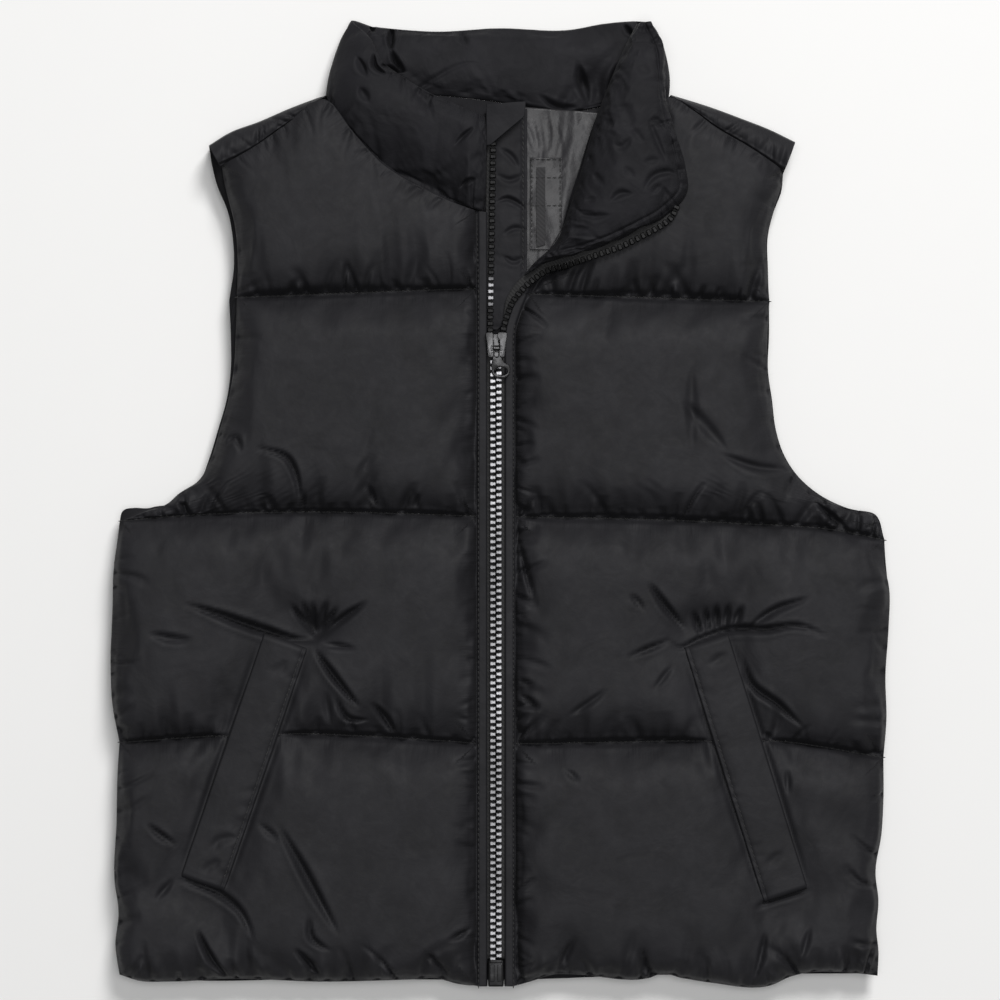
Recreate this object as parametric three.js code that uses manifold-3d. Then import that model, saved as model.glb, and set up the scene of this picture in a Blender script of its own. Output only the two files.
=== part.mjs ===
// A child's quilted puffer vest that lies flat on its back, with the wearer's left front turned open
// at the neck. X runs across the vest with the wearer's left at +X, Y runs from the hem to the collar
// and Z points up. The origin is on the floor below the middle of the vest. Sizes are millimetres.

import * as THREE from "three";
import { mergeVertices } from "three/addons/utils/BufferGeometryUtils.js";
import Module from "manifold-3d";

const wasm = await Module();
wasm.setup();

// Driving dimensions

const GAP = 0.3; // room between two pieces at a seam
const BACK_TOP = 14; // inner face of the back
const FRONT_BASE = BACK_TOP + GAP; // inner face of the fronts, which lie on the back
const SEAM = 4; // thickness of padded cloth where it is stitched through
const FRONT_CROWN = 15; // how far a front's channel rises over its stitch lines
const BACK_CROWN = 12; // how far a back's channel drops below its stitch lines
const EDGE_REACH = 22; // distance from an edge at which the padding is full
const STITCH_REACH = 38; // distance from a stitch line at which a front's padding is full
const BACK_STITCH_REACH = 19; // the same for the back
const ZIP_REACH = 14; // the same beside the zip
const PUFF_POWER = 2.2; // how sharply the padding swells out of a seam

const ZIP_X = -2.2; // centre of the closed zip
const ZIP_HALF = 4.6; // half the slot between the two fronts
const PLACKET = 5.2; // width of the flat stitched strip beside the zip
const PLACKET_RISE = 7.5; // its thickness
const PLACKET_MARGIN = 0.5; // how far past the strip its points may stand
const BEYOND = 300; // a coordinate past either end of the vest

const LINING = { base: BACK_TOP + GAP, thickness: 1 };
const PATCH = { base: 15.6, thickness: 0.8 };
const FLAP = { base: 15.6, thickness: 1.2 };
const TAPE = { base: 18.8, thickness: 1.2, width: 4.1 };
const TEETH = { base: 20.3, thickness: 2.7, width: 3.1, meet: 0.15 };
const GUARD = { base: 23.4, thickness: 2 };
const WELT = { width: 25, thickness: 2.6, level: 0.62, fade: 14 };

// The slider's two plates, its notch between the arms and the post that joins the plates there
const SLIDER = { x: -1.9, low: 77.2, high: 90.7, plate: 1.6, over: 0.4, arms: 11.8, waist: 7.4 };
const SHOULDER = 0.6; // the share of the slider's length at which it is as wide as its arms
const NOTCH = { mouth: 1.2, root: 0.5, depth: 2.5 };
const UNDER_PLATE = { base: 17.1, half: 3.6, short: 1 };
const POST = { width: 1, length: 2.4, back: 4.4 };
const BITE = 0.5; // how far joined shapes of the slider reach into each other

// The slider's two walls with the pin between them, and the pull tab that turns on it
const CROWN = { y: 82.1, z: 27, pin: 0.6, wall: 1.2, length: 2.5, over: 0.95 };
const TAB = { neck: 3.2, thickness: 1.4, hole: 0.85, eye: 1.5 };
const TAB_DROOP = 9; // degrees below level, down to the teeth
const ZIP_BOX = { width: 8.4, foot: -261.2, length: 14.4, base: 17.5, thickness: 6.5 };

// Outlines and stitch lines. Each list runs from -X to +X, or up from the hem, with x and y in columns.

const table = (...rows) => rows.map(([x, y]) => new THREE.Vector2(x, y));

const RIGHT_FRONT = {
  lines: [
    table([-205.2, -255.4], [-194.4, -258.7], [-178, -259.2], [-145.8, -257.6], [-97.2, -259.2],
      [-48.6, -258.1], [-32.4, -257.6], [-25.9, -259.7], [-16.2, -261.4], [-6.8, -261.4]),
    table([-205.2, -130.1], [-149.6, -126.4], [-115, -125.3], [-77.2, -126.4], [-12.4, -130.7],
      [-6.8, -131.2]),
    table([-204.7, -10.8], [-167.4, -7.6], [-95.6, -5.9], [-14.6, -8.1], [-6.8, -8.4]),
    table([-142, 109.8], [-14.6, 114.5], [-6.8, 114.7]),
    table([-150.1, 180.4], [-135, 188.5], [-116.1, 201.4], [-94.5, 215.8], [-78.3, 197.6], [-62.1, 181.4],
      [-43.2, 166.9], [-24.3, 154.4], [-10.8, 145.3], [-6.8, 143.9]),
  ],
  west: [
    table([-207.4, -239.8], [-205.7, -221.9], [-207.9, -204.7], [-206.8, -172.3], [-206.3, -148]),
    table([-209, -110.2], [-210, -88.6], [-209, -58.9], [-208.4, -37.3]),
    table([-190, -6.2], [-173.9, -1.1], [-161.5, 11.9], [-156, 22.7], [-151.2, 38.3], [-146.3, 55.6],
      [-143.6, 71.8], [-142.6, 89.6]),
    table([-141.5, 129.1], [-142.6, 145.3], [-149, 173.3]),
  ],
  east: [[], [], [], []],
};

const LEFT_FRONT = {
  lines: [
    table([2.4, -261.4], [8.1, -261.4], [16.2, -259.2], [28.6, -255.4], [40.5, -255.4], [81, -257],
      [87.5, -254.9], [97.2, -257], [113.4, -259.7], [148.5, -260.3], [153.9, -257.6], [194.4, -254.9],
      [203.6, -256]),
    table([2.4, -130.7], [10.8, -130.7], [111.8, -129.1], [145.8, -129.1], [206.8, -138.2]),
    table([2.4, -8.4], [17.8, -8.6], [125.8, -11.9], [187.4, -16.7], [207.4, -21.1]),
    table([9.2, 111.8], [34, 111.2], [145.3, 107.5]),
    table([44.8, 169], [59.9, 181.4], [76.1, 197.6], [90.7, 217], [104.2, 209.5], [115, 201.4],
      [132.3, 191.2], [145.8, 182.5], [152.8, 177.7]),
  ],
  west: [
    [],
    [],
    table([2.4, 90.7], [4.9, 100.4]),
    table([14.6, 122], [20.5, 128], [28.1, 134.5], [35.6, 145.3], [41, 162.5]),
  ],
  east: [
    table([204.1, -242.5], [203, -231.7], [204.1, -215.5], [202.5, -200.3], [205.7, -179.8], [206.8, -161.5]),
    table([208.4, -118.3], [207.9, -94], [209.5, -69.7], [210, -48.1], [206.8, -29.7]),
    table([187.9, -10.3], [181.4, -2.7], [170.6, 3.2], [159.8, 14], [152.3, 24.8], [148.5, 38.3],
      [146.3, 54.5], [144.2, 70.7], [144.2, 89.6]),
    table([144.2, 124.7], [143.6, 140.9], [146.9, 155], [151.7, 170.6]),
  ],
};

const BACK = {
  lines: [
    table([-205.2, -254.6], [-178, -258], [-97.2, -258], [-10, -258.5], [0, -258.5], [81, -256], [203, -255]),
    table([-205.2, -130.1], [-115, -127], [0, -128], [111.8, -128], [206.8, -138.2]),
    table([-205.5, -12], [-95.6, -8], [0, -8], [125.8, -12], [207.5, -20.5]),
    table([-146.2, 108], [0, 112], [145.3, 108]),
    table([-157.1, 191.2], [-145.3, 198.2], [-129.6, 204.1], [-113.4, 211.1], [-93.4, 218.4], [-60, 220],
      [-37.8, 219.2], [-10.8, 216.5], [14.6, 212.8], [32.4, 210], [56.7, 212.8], [75.6, 216], [90.7, 218.4],
      [113.4, 211.7], [129.6, 205.7], [145.8, 199.3], [159.3, 192.8]),
  ],
  west: [
    table([-206.8, -239.8], [-205.2, -221.9], [-207.4, -204.7], [-206.3, -172.3], [-206, -148]),
    table([-208.5, -110.2], [-209.5, -88.6], [-208.5, -58.9], [-208, -37.3]),
    table([-204.1, -5.9], [-189, -3.8], [-179.3, -1.6], [-172.8, 4.3], [-162, 11.3], [-157.1, 22.7],
      [-152.3, 38.3], [-147.4, 55.6], [-145.3, 71.8], [-145.3, 86.9]),
    table([-143.6, 129.1], [-144.2, 140.9], [-146.9, 156.1], [-152.8, 170.6], [-155.5, 181.4]),
  ],
  east: [
    table([203.6, -242.5], [202.6, -231.7], [203.6, -215.5], [202, -200.3], [205.2, -179.8], [206.3, -161.5]),
    table([208, -118.3], [207.5, -94], [209, -69.7], [209.5, -48.1], [208, -29.7]),
    table([203, -7.6], [189, -4.3], [171.2, 4.3], [160.4, 14], [153.4, 24.8], [149, 38.3], [146.9, 54.5],
      [144.7, 70.7], [145.3, 89.6]),
    table([144.7, 124.7], [144.7, 143.6], [147.4, 155], [152.3, 169], [152.8, 176], [156.1, 186.8]),
  ],
};

// Rows and columns of the panels' points, as shares of a channel's height and of a panel's width

const CHANNEL_ROWS = [0, 0.035, 0.09, 0.17, 0.28, 0.42, 0.58, 0.72, 0.84, 0.92, 0.97, 1];
const RIGHT_COLUMNS = [0, 0.02, 0.05, 0.09, 0.14, 0.2, 0.27, 0.34, 0.41, 0.48, 0.55, 0.62, 0.7, 0.78, 0.86,
  0.92, 0.95, 0.974, 1];
const LEFT_COLUMNS = RIGHT_COLUMNS.map((u) => 1 - u).reverse();
const BACK_COLUMNS = [0, 0.012, 0.03, 0.055, 0.09, 0.14, 0.2, 0.27, 0.34, 0.42, 0.5, 0.58, 0.66, 0.73, 0.8,
  0.86, 0.91, 0.945, 0.97, 0.988, 1];

// The largest folds in the fronts, where the pockets and the zip pull at the padding

const FOLDS = [
  { from: [-167.4, -55.1], to: [-143.1, -67], depth: 3, width: 6 },
  { from: [-143.1, -67], to: [-98.8, -75.6], depth: 5.5, width: 8 },
  { from: [-108, -62], to: [-96, -60], depth: 6, width: 13 },
  { from: [-98.8, -73.4], to: [-71.3, -54.5], depth: 3.5, width: 7 },
  { from: [-98.8, -80.5], to: [-74, -113.9], depth: 4, width: 7 },
  { from: [-117.2, -175], to: [-86.4, -232.7], depth: 3, width: 7 },
  { from: [-174.4, -204.7], to: [-133.4, -230], depth: 3, width: 7 },
  { from: [-130.7, 27.5], to: [-108, 4], depth: 2.5, width: 7 },
  { from: [78.3, -44.3], to: [98.8, -69.7], depth: 4, width: 7 },
  { from: [108, -62], to: [124, -62], depth: 6, width: 13 },
  { from: [126.9, -67], to: [164.7, -52.4], depth: 4, width: 7 },
  { from: [129.6, -85.9], to: [163.6, -122], depth: 4, width: 7 },
  { from: [91.8, -90.2], to: [78.3, -107.5], depth: 3, width: 7 },
  { from: [137.7, -218.2], to: [168.5, -207.4], depth: 3, width: 7 },
  { from: [118.8, 24.8], to: [156.6, 16.7], depth: 2.5, width: 8 },
];

// Centre lines of the two slanted pocket welts, from the upper end to the lower

const WELTS = {
  pocket_welt_right: { panel: RIGHT_FRONT, from: [-115, -75.1], to: [-159.8, -205.7] },
  pocket_welt_left: { panel: LEFT_FRONT, from: [110.7, -75.1], to: [153.4, -211.7] },
};

// Sections of the collar, round from the zip: its sewn edge, its free edge, and how far the padding
// stands out from the line between them on the outer and the inner side

const COLLAR = [
  { sewn: [-8.2, 144.8, 19.5], free: [-8.2, 206.5, 23], outer: 6, inner: 3 },
  { sewn: [-12.5, 146.6, 20], free: [-11, 208, 23.5], outer: 8.5, inner: 4 },
  { sewn: [-24.3, 154.6, 20.5], free: [-24.3, 213.8, 24], outer: 9.5, inner: 4.5 },
  { sewn: [-43.2, 167.1, 20.5], free: [-37.8, 219.2, 24.5], outer: 9.5, inner: 4.5 },
  { sewn: [-62.1, 181.6, 20.5], free: [-52, 228, 24.5], outer: 9, inner: 4 },
  { sewn: [-78.3, 197.8, 20.5], free: [-62, 236, 24], outer: 8.5, inner: 4 },
  { sewn: [-88.6, 210.4, 19], free: [-69, 249, 22], outer: 7, inner: 3 },
  { sewn: [-91.8, 219, 14.5], free: [-77.5, 258.6, 14], outer: 4.6, inner: 2.6 },
  { sewn: [-86, 219.4, 12.4], free: [-68, 259, 6.6], outer: 7, inner: 3.2 },
  { sewn: [-60, 220.8, 12], free: [-48.6, 257.5, 6.5], outer: 8.5, inner: 4 },
  { sewn: [-30, 219.2, 12], free: [-30, 257, 6.5], outer: 8.8, inner: 4.2 },
  { sewn: [0, 215.8, 12], free: [0, 258.6, 6.5], outer: 8.8, inner: 4.2 },
  { sewn: [32.4, 210.8, 12], free: [32, 257.5, 6.5], outer: 8.8, inner: 4.2 },
  { sewn: [58, 213.8, 12], free: [56, 260.6, 6.5], outer: 8.5, inner: 4 },
  { sewn: [81, 218, 12.4], free: [74, 261.4, 6.6], outer: 7, inner: 3.2 },
  { sewn: [87.4, 218.6, 14.5], free: [80, 257.6, 14], outer: 4.6, inner: 2.6 },
  { sewn: [85, 211.2, 19.5], free: [76, 246, 21], outer: 6, inner: 3 },
  { sewn: [70.8, 192.4, 21], free: [66.5, 231, 23], outer: 7.5, inner: 3.5 },
  { sewn: [59.4, 181.4, 21], free: [57.5, 207, 22], outer: 7, inner: 3 },
  { sewn: [49.5, 174, 20.5], free: [49.8, 186, 21], outer: 4, inner: 2.5 },
];
const COLLAR_STATIONS = 44;
const COLLAR_SHARES = [0, 0.04, 0.12, 0.25, 0.42, 0.6, 0.78, 0.9, 0.97, 1];
const COLLAR_INNER_SHARES = [0.94, 0.75, 0.5, 0.25, 0.06];
const COLLAR_EDGE = 1.4; // half its thickness at the sewn and the free edge

// The turned back front edge: rows across it from the roll to the outer edge, with the heights of its top

const LAPEL = [
  { roll: [13.6, 121.5], rim: [16.8, 123.4], rollTop: 28, rimTop: 27, crown: 0.5 },
  { roll: [19.5, 128], rim: [24.8, 128], rollTop: 31, rimTop: 31, crown: 1 },
  { roll: [27.1, 134.5], rim: [43.2, 132.3], rollTop: 34, rimTop: 34, crown: 2 },
  { roll: [32.5, 141], rim: [60.5, 138.2], rollTop: 36, rimTop: 36, crown: 4 },
  { roll: [35.8, 149], rim: [76.1, 145.8], rollTop: 37, rimTop: 37, crown: 5 },
  { roll: [38.5, 157], rim: [87.5, 152.3], rollTop: 38, rimTop: 37, crown: 6 },
  { roll: [41.7, 166.9], rim: [99.4, 164.7], rollTop: 38.5, rimTop: 37, crown: 6 },
  { roll: [45.5, 179.8], rim: [98.8, 179.8], rollTop: 38.5, rimTop: 37, crown: 6 },
  { roll: [50.3, 197.6], rim: [94, 200.3], rollTop: 38.5, rimTop: 36.5, crown: 6.5 },
  { roll: [55.2, 212.2], rim: [90.2, 214.4], rollTop: 38, rimTop: 36, crown: 6.5 },
  { roll: [61.1, 227.3], rim: [89.1, 228.4], rollTop: 37, rimTop: 35, crown: 5 },
  { roll: [68.1, 243.5], rim: [87.5, 243.5], rollTop: 34, rimTop: 33, crown: 3.5 },
  { roll: [74.6, 256.5], rim: [81.5, 257.5], rollTop: 29, rimTop: 28, crown: 1 },
];
const LAPEL_SHARES = [0, 0.04, 0.12, 0.28, 0.5, 0.72, 0.88, 0.96, 1];
const LAPEL_ROUND = [0.2, 0.5, 0.8];
const LAPEL_BULGE = 1.6; // how far its roll rounds out over the neck opening
const LAPEL_STEPS = 24;
const LAPEL_FLOOR = 17.2; // how far down its roll reaches
const LAPEL_LIP = 4; // drop of its top at the roll and at the rim

// The two halves of the zip: the closed stretch, and where each half runs above the slider

const ZIP_FOOT = -246.4; // where the teeth start, above the box
const ZIP_TOP = 206; // where the upright half ends, under the zip's garage
const TURN = { from: 92, to: 116 }; // where the tape of the turned back half passes under its teeth
const RIGHT_ROW = table([-3.85, ZIP_FOOT], [-3.85, 76], [-4.95, 84], [-4.95, 110], [-3.6, 191], [-3.4, 206]);
const LEFT_ROW = table([-0.55, ZIP_FOOT], [-0.55, 76], [0.45, 84], [1.7, 92], [3.8, 99.4], [7, 107.5],
  [12.4, 114], [16.2, 117.7], [25.4, 123.7], [36.2, 126.4], [50.2, 131.2], [64.8, 136.1], [75.6, 141.5],
  [86.4, 147.4], [91.8, 151.7], [94.5, 157.1]);
const ROW_STRAIGHT = 75.2; // up to here the turned back half is straight
const ROW_STEPS = 60; // points along the turned back half
const ROW_LIFT = 1.9; // its teeth over the front that it lies on

// The flat cloth in the neck opening
const FLAP_OUTLINE = table([-7.6, 92.4], [-1.6, 92.4], [1.6, 95], [4, 101], [8.2, 112], [13.8, 122.6],
  [14.6, 123.6], [14.6, 211.6], [-7.6, 211.6]);
const LINING_OUTLINE = table([-6.2, 92.4], [1.6, 95], [4.2, 101], [8.4, 112], [13.8, 122.8], [19.6, 128.8],
  [27.2, 135.4], [34.6, 146], [40.1, 163], [43.6, 169.4], [47.9, 189.5], [55, 211], [32.4, 208.8],
  [14.6, 211.6], [-6.2, 214.6]);
const PATCH_OUTLINE = table([16.2, 135.4], [26.5, 135.4], [33.5, 146.5], [33.5, 185.2], [16.2, 185.2]);
const GUARD_OUTLINE = table([-7.4, 191.2], [-5.4, 191.2], [13, 206.8], [14, 214.8], [-7.4, 213.2]);

// Curves and distances in the plane of the vest

// The point at a share of the length of a line of points.
function along(points, share) {
  const lengths = points.slice(1).map((p, i) => p.distanceTo(points[i]));
  let left = share * lengths.reduce((sum, length) => sum + length, 0);
  for (let i = 0; i < lengths.length; i += 1) {
    if (left <= lengths[i] || i === lengths.length - 1) {
      return points[i].clone().lerp(points[i + 1], Math.min(left / lengths[i], 1));
    }
    left -= lengths[i];
  }
  return points[0].clone();
}

function segmentDistance(x, y, a, b) {
  const length2 = a.distanceToSquared(b);
  const share = ((x - a.x) * (b.x - a.x) + (y - a.y) * (b.y - a.y)) / length2;
  const t = THREE.MathUtils.clamp(share, 0, 1);
  return Math.hypot(x - a.x - t * (b.x - a.x), y - a.y - t * (b.y - a.y));
}

function lineDistance(x, y, points) {
  return Math.min(...points.slice(1).map((p, i) => segmentDistance(x, y, points[i], p)));
}

// How full the padding is at a distance from a seam, from 0 at the seam to 1.
const swell = (distance, reach) => 1 - (1 - Math.min(distance / reach, 1)) ** PUFF_POWER;

// The ends of a channel's two stitch lines with the edge points between them.
function channelEdge(panel, k, side) {
  const end = side === "west" ? 0 : -1;
  return [panel.lines[k].at(end), ...panel[side][k], panel.lines[k + 1].at(end)];
}

// Every channel is a patch between two stitch lines and two edges. The rows and columns of the whole
// panel's points come from those patches.
function panelGrid(panel, columns) {
  const rows = [];
  for (let k = 0; k < panel.lines.length - 1; k += 1) {
    const [below, above] = [panel.lines[k], panel.lines[k + 1]];
    const [west, east] = [channelEdge(panel, k, "west"), channelEdge(panel, k, "east")];
    for (const v of CHANNEL_ROWS.slice(k ? 1 : 0)) {
      rows.push(columns.map((u) => {
        const ruled = along(below, u).lerp(along(above, u), v);
        const sides = along(west, v).lerp(along(east, v), u);
        const corners = below[0].clone().lerp(below.at(-1), u);
        corners.lerp(above[0].clone().lerp(above.at(-1), u), v);
        return ruled.add(sides).sub(corners);
      }));
    }
  }
  return rows;
}

// Columns with the nearest one moved onto each corner of the panel's top line.
function columnsWithCorners(panel, columns, corners) {
  const top = panel.lines.at(-1);
  const length = (points) => points.slice(1).reduce((sum, p, i) => sum + p.distanceTo(points[i]), 0);
  const moved = [...columns];
  for (const corner of corners) {
    const share = length(top.slice(0, corner + 1)) / length(top);
    const away = moved.map((u) => Math.abs(u - share));
    moved[away.indexOf(Math.min(...away))] = share;
  }
  return moved;
}

// The sewn outline of a panel without its zip side, and the stitch lines across it

function seamsOf(panel, sides) {
  const edges = sides.flatMap((side) => panel.lines.slice(1).map((_, k) => channelEdge(panel, k, side)));
  return { edges: [panel.lines[0], panel.lines.at(-1), ...edges], stitches: panel.lines.slice(1, -1) };
}

const seams = new Map([
  [RIGHT_FRONT, seamsOf(RIGHT_FRONT, ["west"])],
  [LEFT_FRONT, seamsOf(LEFT_FRONT, ["east"])],
  [BACK, seamsOf(BACK, ["west", "east"])],
]);
const zipEdges = new Map([
  [RIGHT_FRONT, table([ZIP_X - ZIP_HALF, -BEYOND], [ZIP_X - ZIP_HALF, BEYOND])],
  [LEFT_FRONT, [...table([ZIP_X + ZIP_HALF, -BEYOND]), ...LEFT_FRONT.west[2], ...LEFT_FRONT.west[3],
    LEFT_FRONT.lines[4][0]]],
]);

const point = ([x, y]) => new THREE.Vector2(x, y);

function foldDepth(x, y) {
  const depths = FOLDS.map((fold) => {
    const distance = segmentDistance(x, y, point(fold.from), point(fold.to));
    return fold.depth * Math.exp(-((distance / fold.width) ** 2));
  });
  return Math.max(...depths);
}

// 1 under a pocket welt, falling to 0 beside it.
function weltCover(x, y) {
  const covers = Object.values(WELTS).map((welt) => {
    const outside = segmentDistance(x, y, point(welt.from), point(welt.to)) - WELT.width / 2;
    return THREE.MathUtils.clamp(1 - outside / WELT.fade, 0, 1);
  });
  return Math.max(...covers);
}

// Height of a front's outer face. The padding is pressed to one level under the welts, which bridge the
// stitch lines there.
function frontTop(panel, x, y) {
  const { edges, stitches } = seams.get(panel);
  const edge = swell(Math.min(...edges.map((line) => lineDistance(x, y, line))), EDGE_REACH);
  const stitch = swell(Math.min(...stitches.map((line) => lineDistance(x, y, line))), STITCH_REACH);
  const fromZip = lineDistance(x, y, zipEdges.get(panel));
  const zip = swell(Math.max(fromZip - PLACKET, 0), ZIP_REACH);
  const pressed = THREE.MathUtils.lerp(stitch, WELT.level, weltCover(x, y));
  const padding = FRONT_CROWN * edge * pressed * zip - foldDepth(x, y);
  const flat = fromZip < PLACKET + PLACKET_MARGIN ? PLACKET_RISE - SEAM : 0;
  return FRONT_BASE + SEAM + Math.max(padding, flat);
}

function backBottom(x, y) {
  const { edges, stitches } = seams.get(BACK);
  const edge = swell(Math.min(...edges.map((line) => lineDistance(x, y, line))), EDGE_REACH);
  const stitch = swell(Math.min(...stitches.map((line) => lineDistance(x, y, line))), BACK_STITCH_REACH);
  return Math.max(0, BACK_TOP - SEAM - BACK_CROWN * edge * stitch);
}

// Solids

function solidFrom(vertices, triangles) {
  const vertProperties = new Float32Array(vertices.flatMap((v) => [v.x, v.y, v.z]));
  const triVerts = new Uint32Array(triangles.flat());
  return new wasm.Manifold(new wasm.Mesh({ numProp: 3, vertProperties, triVerts }));
}

function solidOf(geometry) {
  const bare = geometry.index ? geometry.toNonIndexed() : geometry.clone();
  bare.deleteAttribute("normal");
  bare.deleteAttribute("uv");
  const merged = mergeVertices(bare, 1e-4);
  const vertProperties = merged.attributes.position.array;
  const triVerts = new Uint32Array(merged.index.array);
  return new wasm.Manifold(new wasm.Mesh({ numProp: 3, vertProperties, triVerts }));
}

const box = (x, y, z) => new THREE.BoxGeometry(x, y, z);

// A plate with straight sides over an outline, from one height up.
function plate(outline, base, thickness, holes = []) {
  const shape = new THREE.Shape(outline);
  shape.holes = holes;
  const geometry = new THREE.ExtrudeGeometry(shape, { depth: thickness, bevelEnabled: false });
  return solidOf(geometry.translate(0, 0, base));
}

// A slab over rows of points. Its top and its bottom are each a height, for a flat face, or a function
// of the point, its row and its column.
function slab(rows, top, bottom) {
  const [height, width] = [rows.length, rows[0].length];
  const level = (face, p, r, c) => (typeof face === "number" ? face : face(p.x, p.y, r, c));
  const vertices = [];
  for (const face of [top, bottom]) {
    rows.forEach((row, r) => {
      row.forEach((p, c) => vertices.push(new THREE.Vector3(p.x, p.y, level(face, p, r, c))));
    });
  }
  const at = (layer, r, c) => layer * height * width + r * width + c;
  const rim = [];
  for (let c = 0; c < width - 1; c += 1) rim.push([0, c]);
  for (let r = 0; r < height - 1; r += 1) rim.push([r, width - 1]);
  for (let c = width - 1; c > 0; c -= 1) rim.push([height - 1, c]);
  for (let r = height - 1; r > 0; r -= 1) rim.push([r, 0]);
  if (THREE.ShapeUtils.area(rim.map(([r, c]) => rows[r][c])) < 0) {
    throw new Error("the rows of a slab run clockwise");
  }
  const triangles = [];
  rim.forEach(([r, c], i) => {
    const [r2, c2] = rim[(i + 1) % rim.length];
    triangles.push([at(1, r, c), at(1, r2, c2), at(0, r2, c2)], [at(1, r, c), at(0, r2, c2), at(0, r, c)]);
  });
  [top, bottom].forEach((face, layer) => {
    const out = (a, b, c) => triangles.push(layer ? [a, c, b] : [a, b, c]);
    if (typeof face === "number") {
      const faces = THREE.ShapeUtils.triangulateShape(rim.map(([r, c]) => rows[r][c]), []);
      faces.forEach((corners) => out(...corners.map((i) => at(layer, ...rim[i]))));
      return;
    }
    for (let r = 0; r < height - 1; r += 1) {
      for (let c = 0; c < width - 1; c += 1) {
        out(at(layer, r, c), at(layer, r, c + 1), at(layer, r + 1, c + 1));
        out(at(layer, r, c), at(layer, r + 1, c + 1), at(layer, r + 1, c));
      }
    }
  });
  const used = [...new Set(triangles.flat())];
  const order = new Map(used.map((v, i) => [v, i]));
  const renumbered = triangles.map((corners) => corners.map((v) => order.get(v)));
  return solidFrom(used.map((v) => vertices[v]), renumbered);
}

// A solid through closed sections of equally many points, capped at both ends.
function loft(sections) {
  const size = sections[0].length;
  const triangles = [];
  for (let s = 0; s < sections.length - 1; s += 1) {
    for (let i = 0; i < size; i += 1) {
      const [a, b] = [s * size + i, s * size + ((i + 1) % size)];
      triangles.push([a, b, b + size], [a, b + size, a + size]);
    }
  }
  const last = (sections.length - 1) * size;
  for (let i = 1; i < size - 1; i += 1) {
    triangles.push([0, i + 1, i], [last, last + i, last + i + 1]);
  }
  const made = solidFrom(sections.flat(), triangles);
  if (made.volume() > 0) return made;
  return solidFrom(sections.flat(), triangles.map(([a, b, c]) => [a, c, b]));
}

// A flat bar of a width and a thickness along a line that may climb.
function bar(path, width, thickness) {
  const sections = path.map((p, i) => {
    const ahead = path[Math.min(i + 1, path.length - 1)];
    const behind = path[Math.max(i - 1, 0)];
    const side = new THREE.Vector3(ahead.y - behind.y, behind.x - ahead.x, 0).setLength(width / 2);
    const [left, right] = [p.clone().sub(side), p.clone().add(side)];
    const rise = new THREE.Vector3(0, 0, thickness);
    return [left, right, right.clone().add(rise), left.clone().add(rise)];
  });
  return loft(sections);
}

const ALL_ROUND = [[GAP, 0, 0], [-GAP, 0, 0], [0, GAP, 0], [0, -GAP, 0], [0, 0, GAP], [0, 0, -GAP]];
const OVER_AND_WEST = [[0, 0, GAP], [-GAP, GAP, 0]];

// A piece without the room that a neighbour and the seam gap beside it take, in its largest body.
function clearOf(piece, neighbour, shifts = ALL_ROUND) {
  let cut = piece;
  for (const shift of shifts) {
    cut = cut.subtract(neighbour.translate(shift));
  }
  const bodies = cut.decompose();
  return bodies.reduce((best, body) => (body.volume() > best.volume() ? body : best));
}

const clearOfAll = (piece, others) => others.reduce((cut, other) => clearOf(cut, other), piece);
const union = (solids) => solids.reduce((all, solid) => all.add(solid));

// The back and the two fronts

// The roll over a shoulder: its least and its full height over the back's inner face, how far it reaches
// into the back, how much lower it is at the neck, and the arc of a circle that its section follows
const ROLL = { least: 1, height: 12, sink: 2, slimmer: 0.6, from: 0.12, to: 0.9, bluntness: 0.7 };

// How far the roll stands over the back's inner face, across it from the seam to its edge and along it
// from the armhole to the neck.
function shoulderRise(across, length) {
  const fullness = 1 - ROLL.slimmer * length;
  const angle = Math.PI * THREE.MathUtils.lerp(ROLL.from, ROLL.to, across);
  return ROLL.least + ROLL.height * fullness * Math.sin(angle) ** ROLL.bluntness;
}

const SHOULDER_ALONG = [0, 0.06, 0.18, 0.35, 0.55, 0.75, 0.9, 1];
const SHOULDER_ACROSS = [0, 0.15, 0.4, 0.7, 0.9, 1];

// The back's edge rolls over each shoulder to the front, where it is sewn. The lists run from the armhole
// to the neck on the vest's -X side, and from the neck to the armhole on its +X side.
function shoulderRoll(seam, edge, fromArm) {
  const rows = SHOULDER_ACROSS.map((w) => SHOULDER_ALONG.map((t) => along(seam, t).lerp(along(edge, t), w)));
  const rise = (x, y, r, c) => {
    const length = fromArm ? SHOULDER_ALONG[c] : 1 - SHOULDER_ALONG[c];
    return BACK_TOP + shoulderRise(SHOULDER_ACROSS[r], length);
  };
  return slab(rows, rise, BACK_TOP - ROLL.sink);
}

const rightFront = slab(
  panelGrid(RIGHT_FRONT, columnsWithCorners(RIGHT_FRONT, RIGHT_COLUMNS, [3])),
  (x, y) => frontTop(RIGHT_FRONT, x, y),
  FRONT_BASE,
);
const leftFront = slab(
  panelGrid(LEFT_FRONT, columnsWithCorners(LEFT_FRONT, LEFT_COLUMNS, [3])),
  (x, y) => frontTop(LEFT_FRONT, x, y),
  FRONT_BASE,
);
const backBody = slab(panelGrid(BACK, columnsWithCorners(BACK, BACK_COLUMNS, [4, 12])), BACK_TOP, backBottom);
const back = union([
  backBody,
  shoulderRoll(
    table([-151.5, 181.4], [-135.3, 189.2], [-116.4, 202.2], [-94.8, 217]),
    table([-156.6, 190.8], [-145.2, 197.8], [-129.5, 203.7], [-113.4, 210.7], [-94.2, 218]),
    true,
  ),
  shoulderRoll(
    table([91.4, 217.8], [104.6, 210.2], [115.5, 202.2], [132.8, 192], [146.2, 183.4], [153.4, 178.6]),
    table([91.6, 218.2], [113.4, 211.4], [129.6, 205.4], [145.8, 199], [158.8, 192.6]),
    false,
  ),
]);
const backPanel = clearOfAll(back, [rightFront, leftFront]);

// The collar

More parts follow.
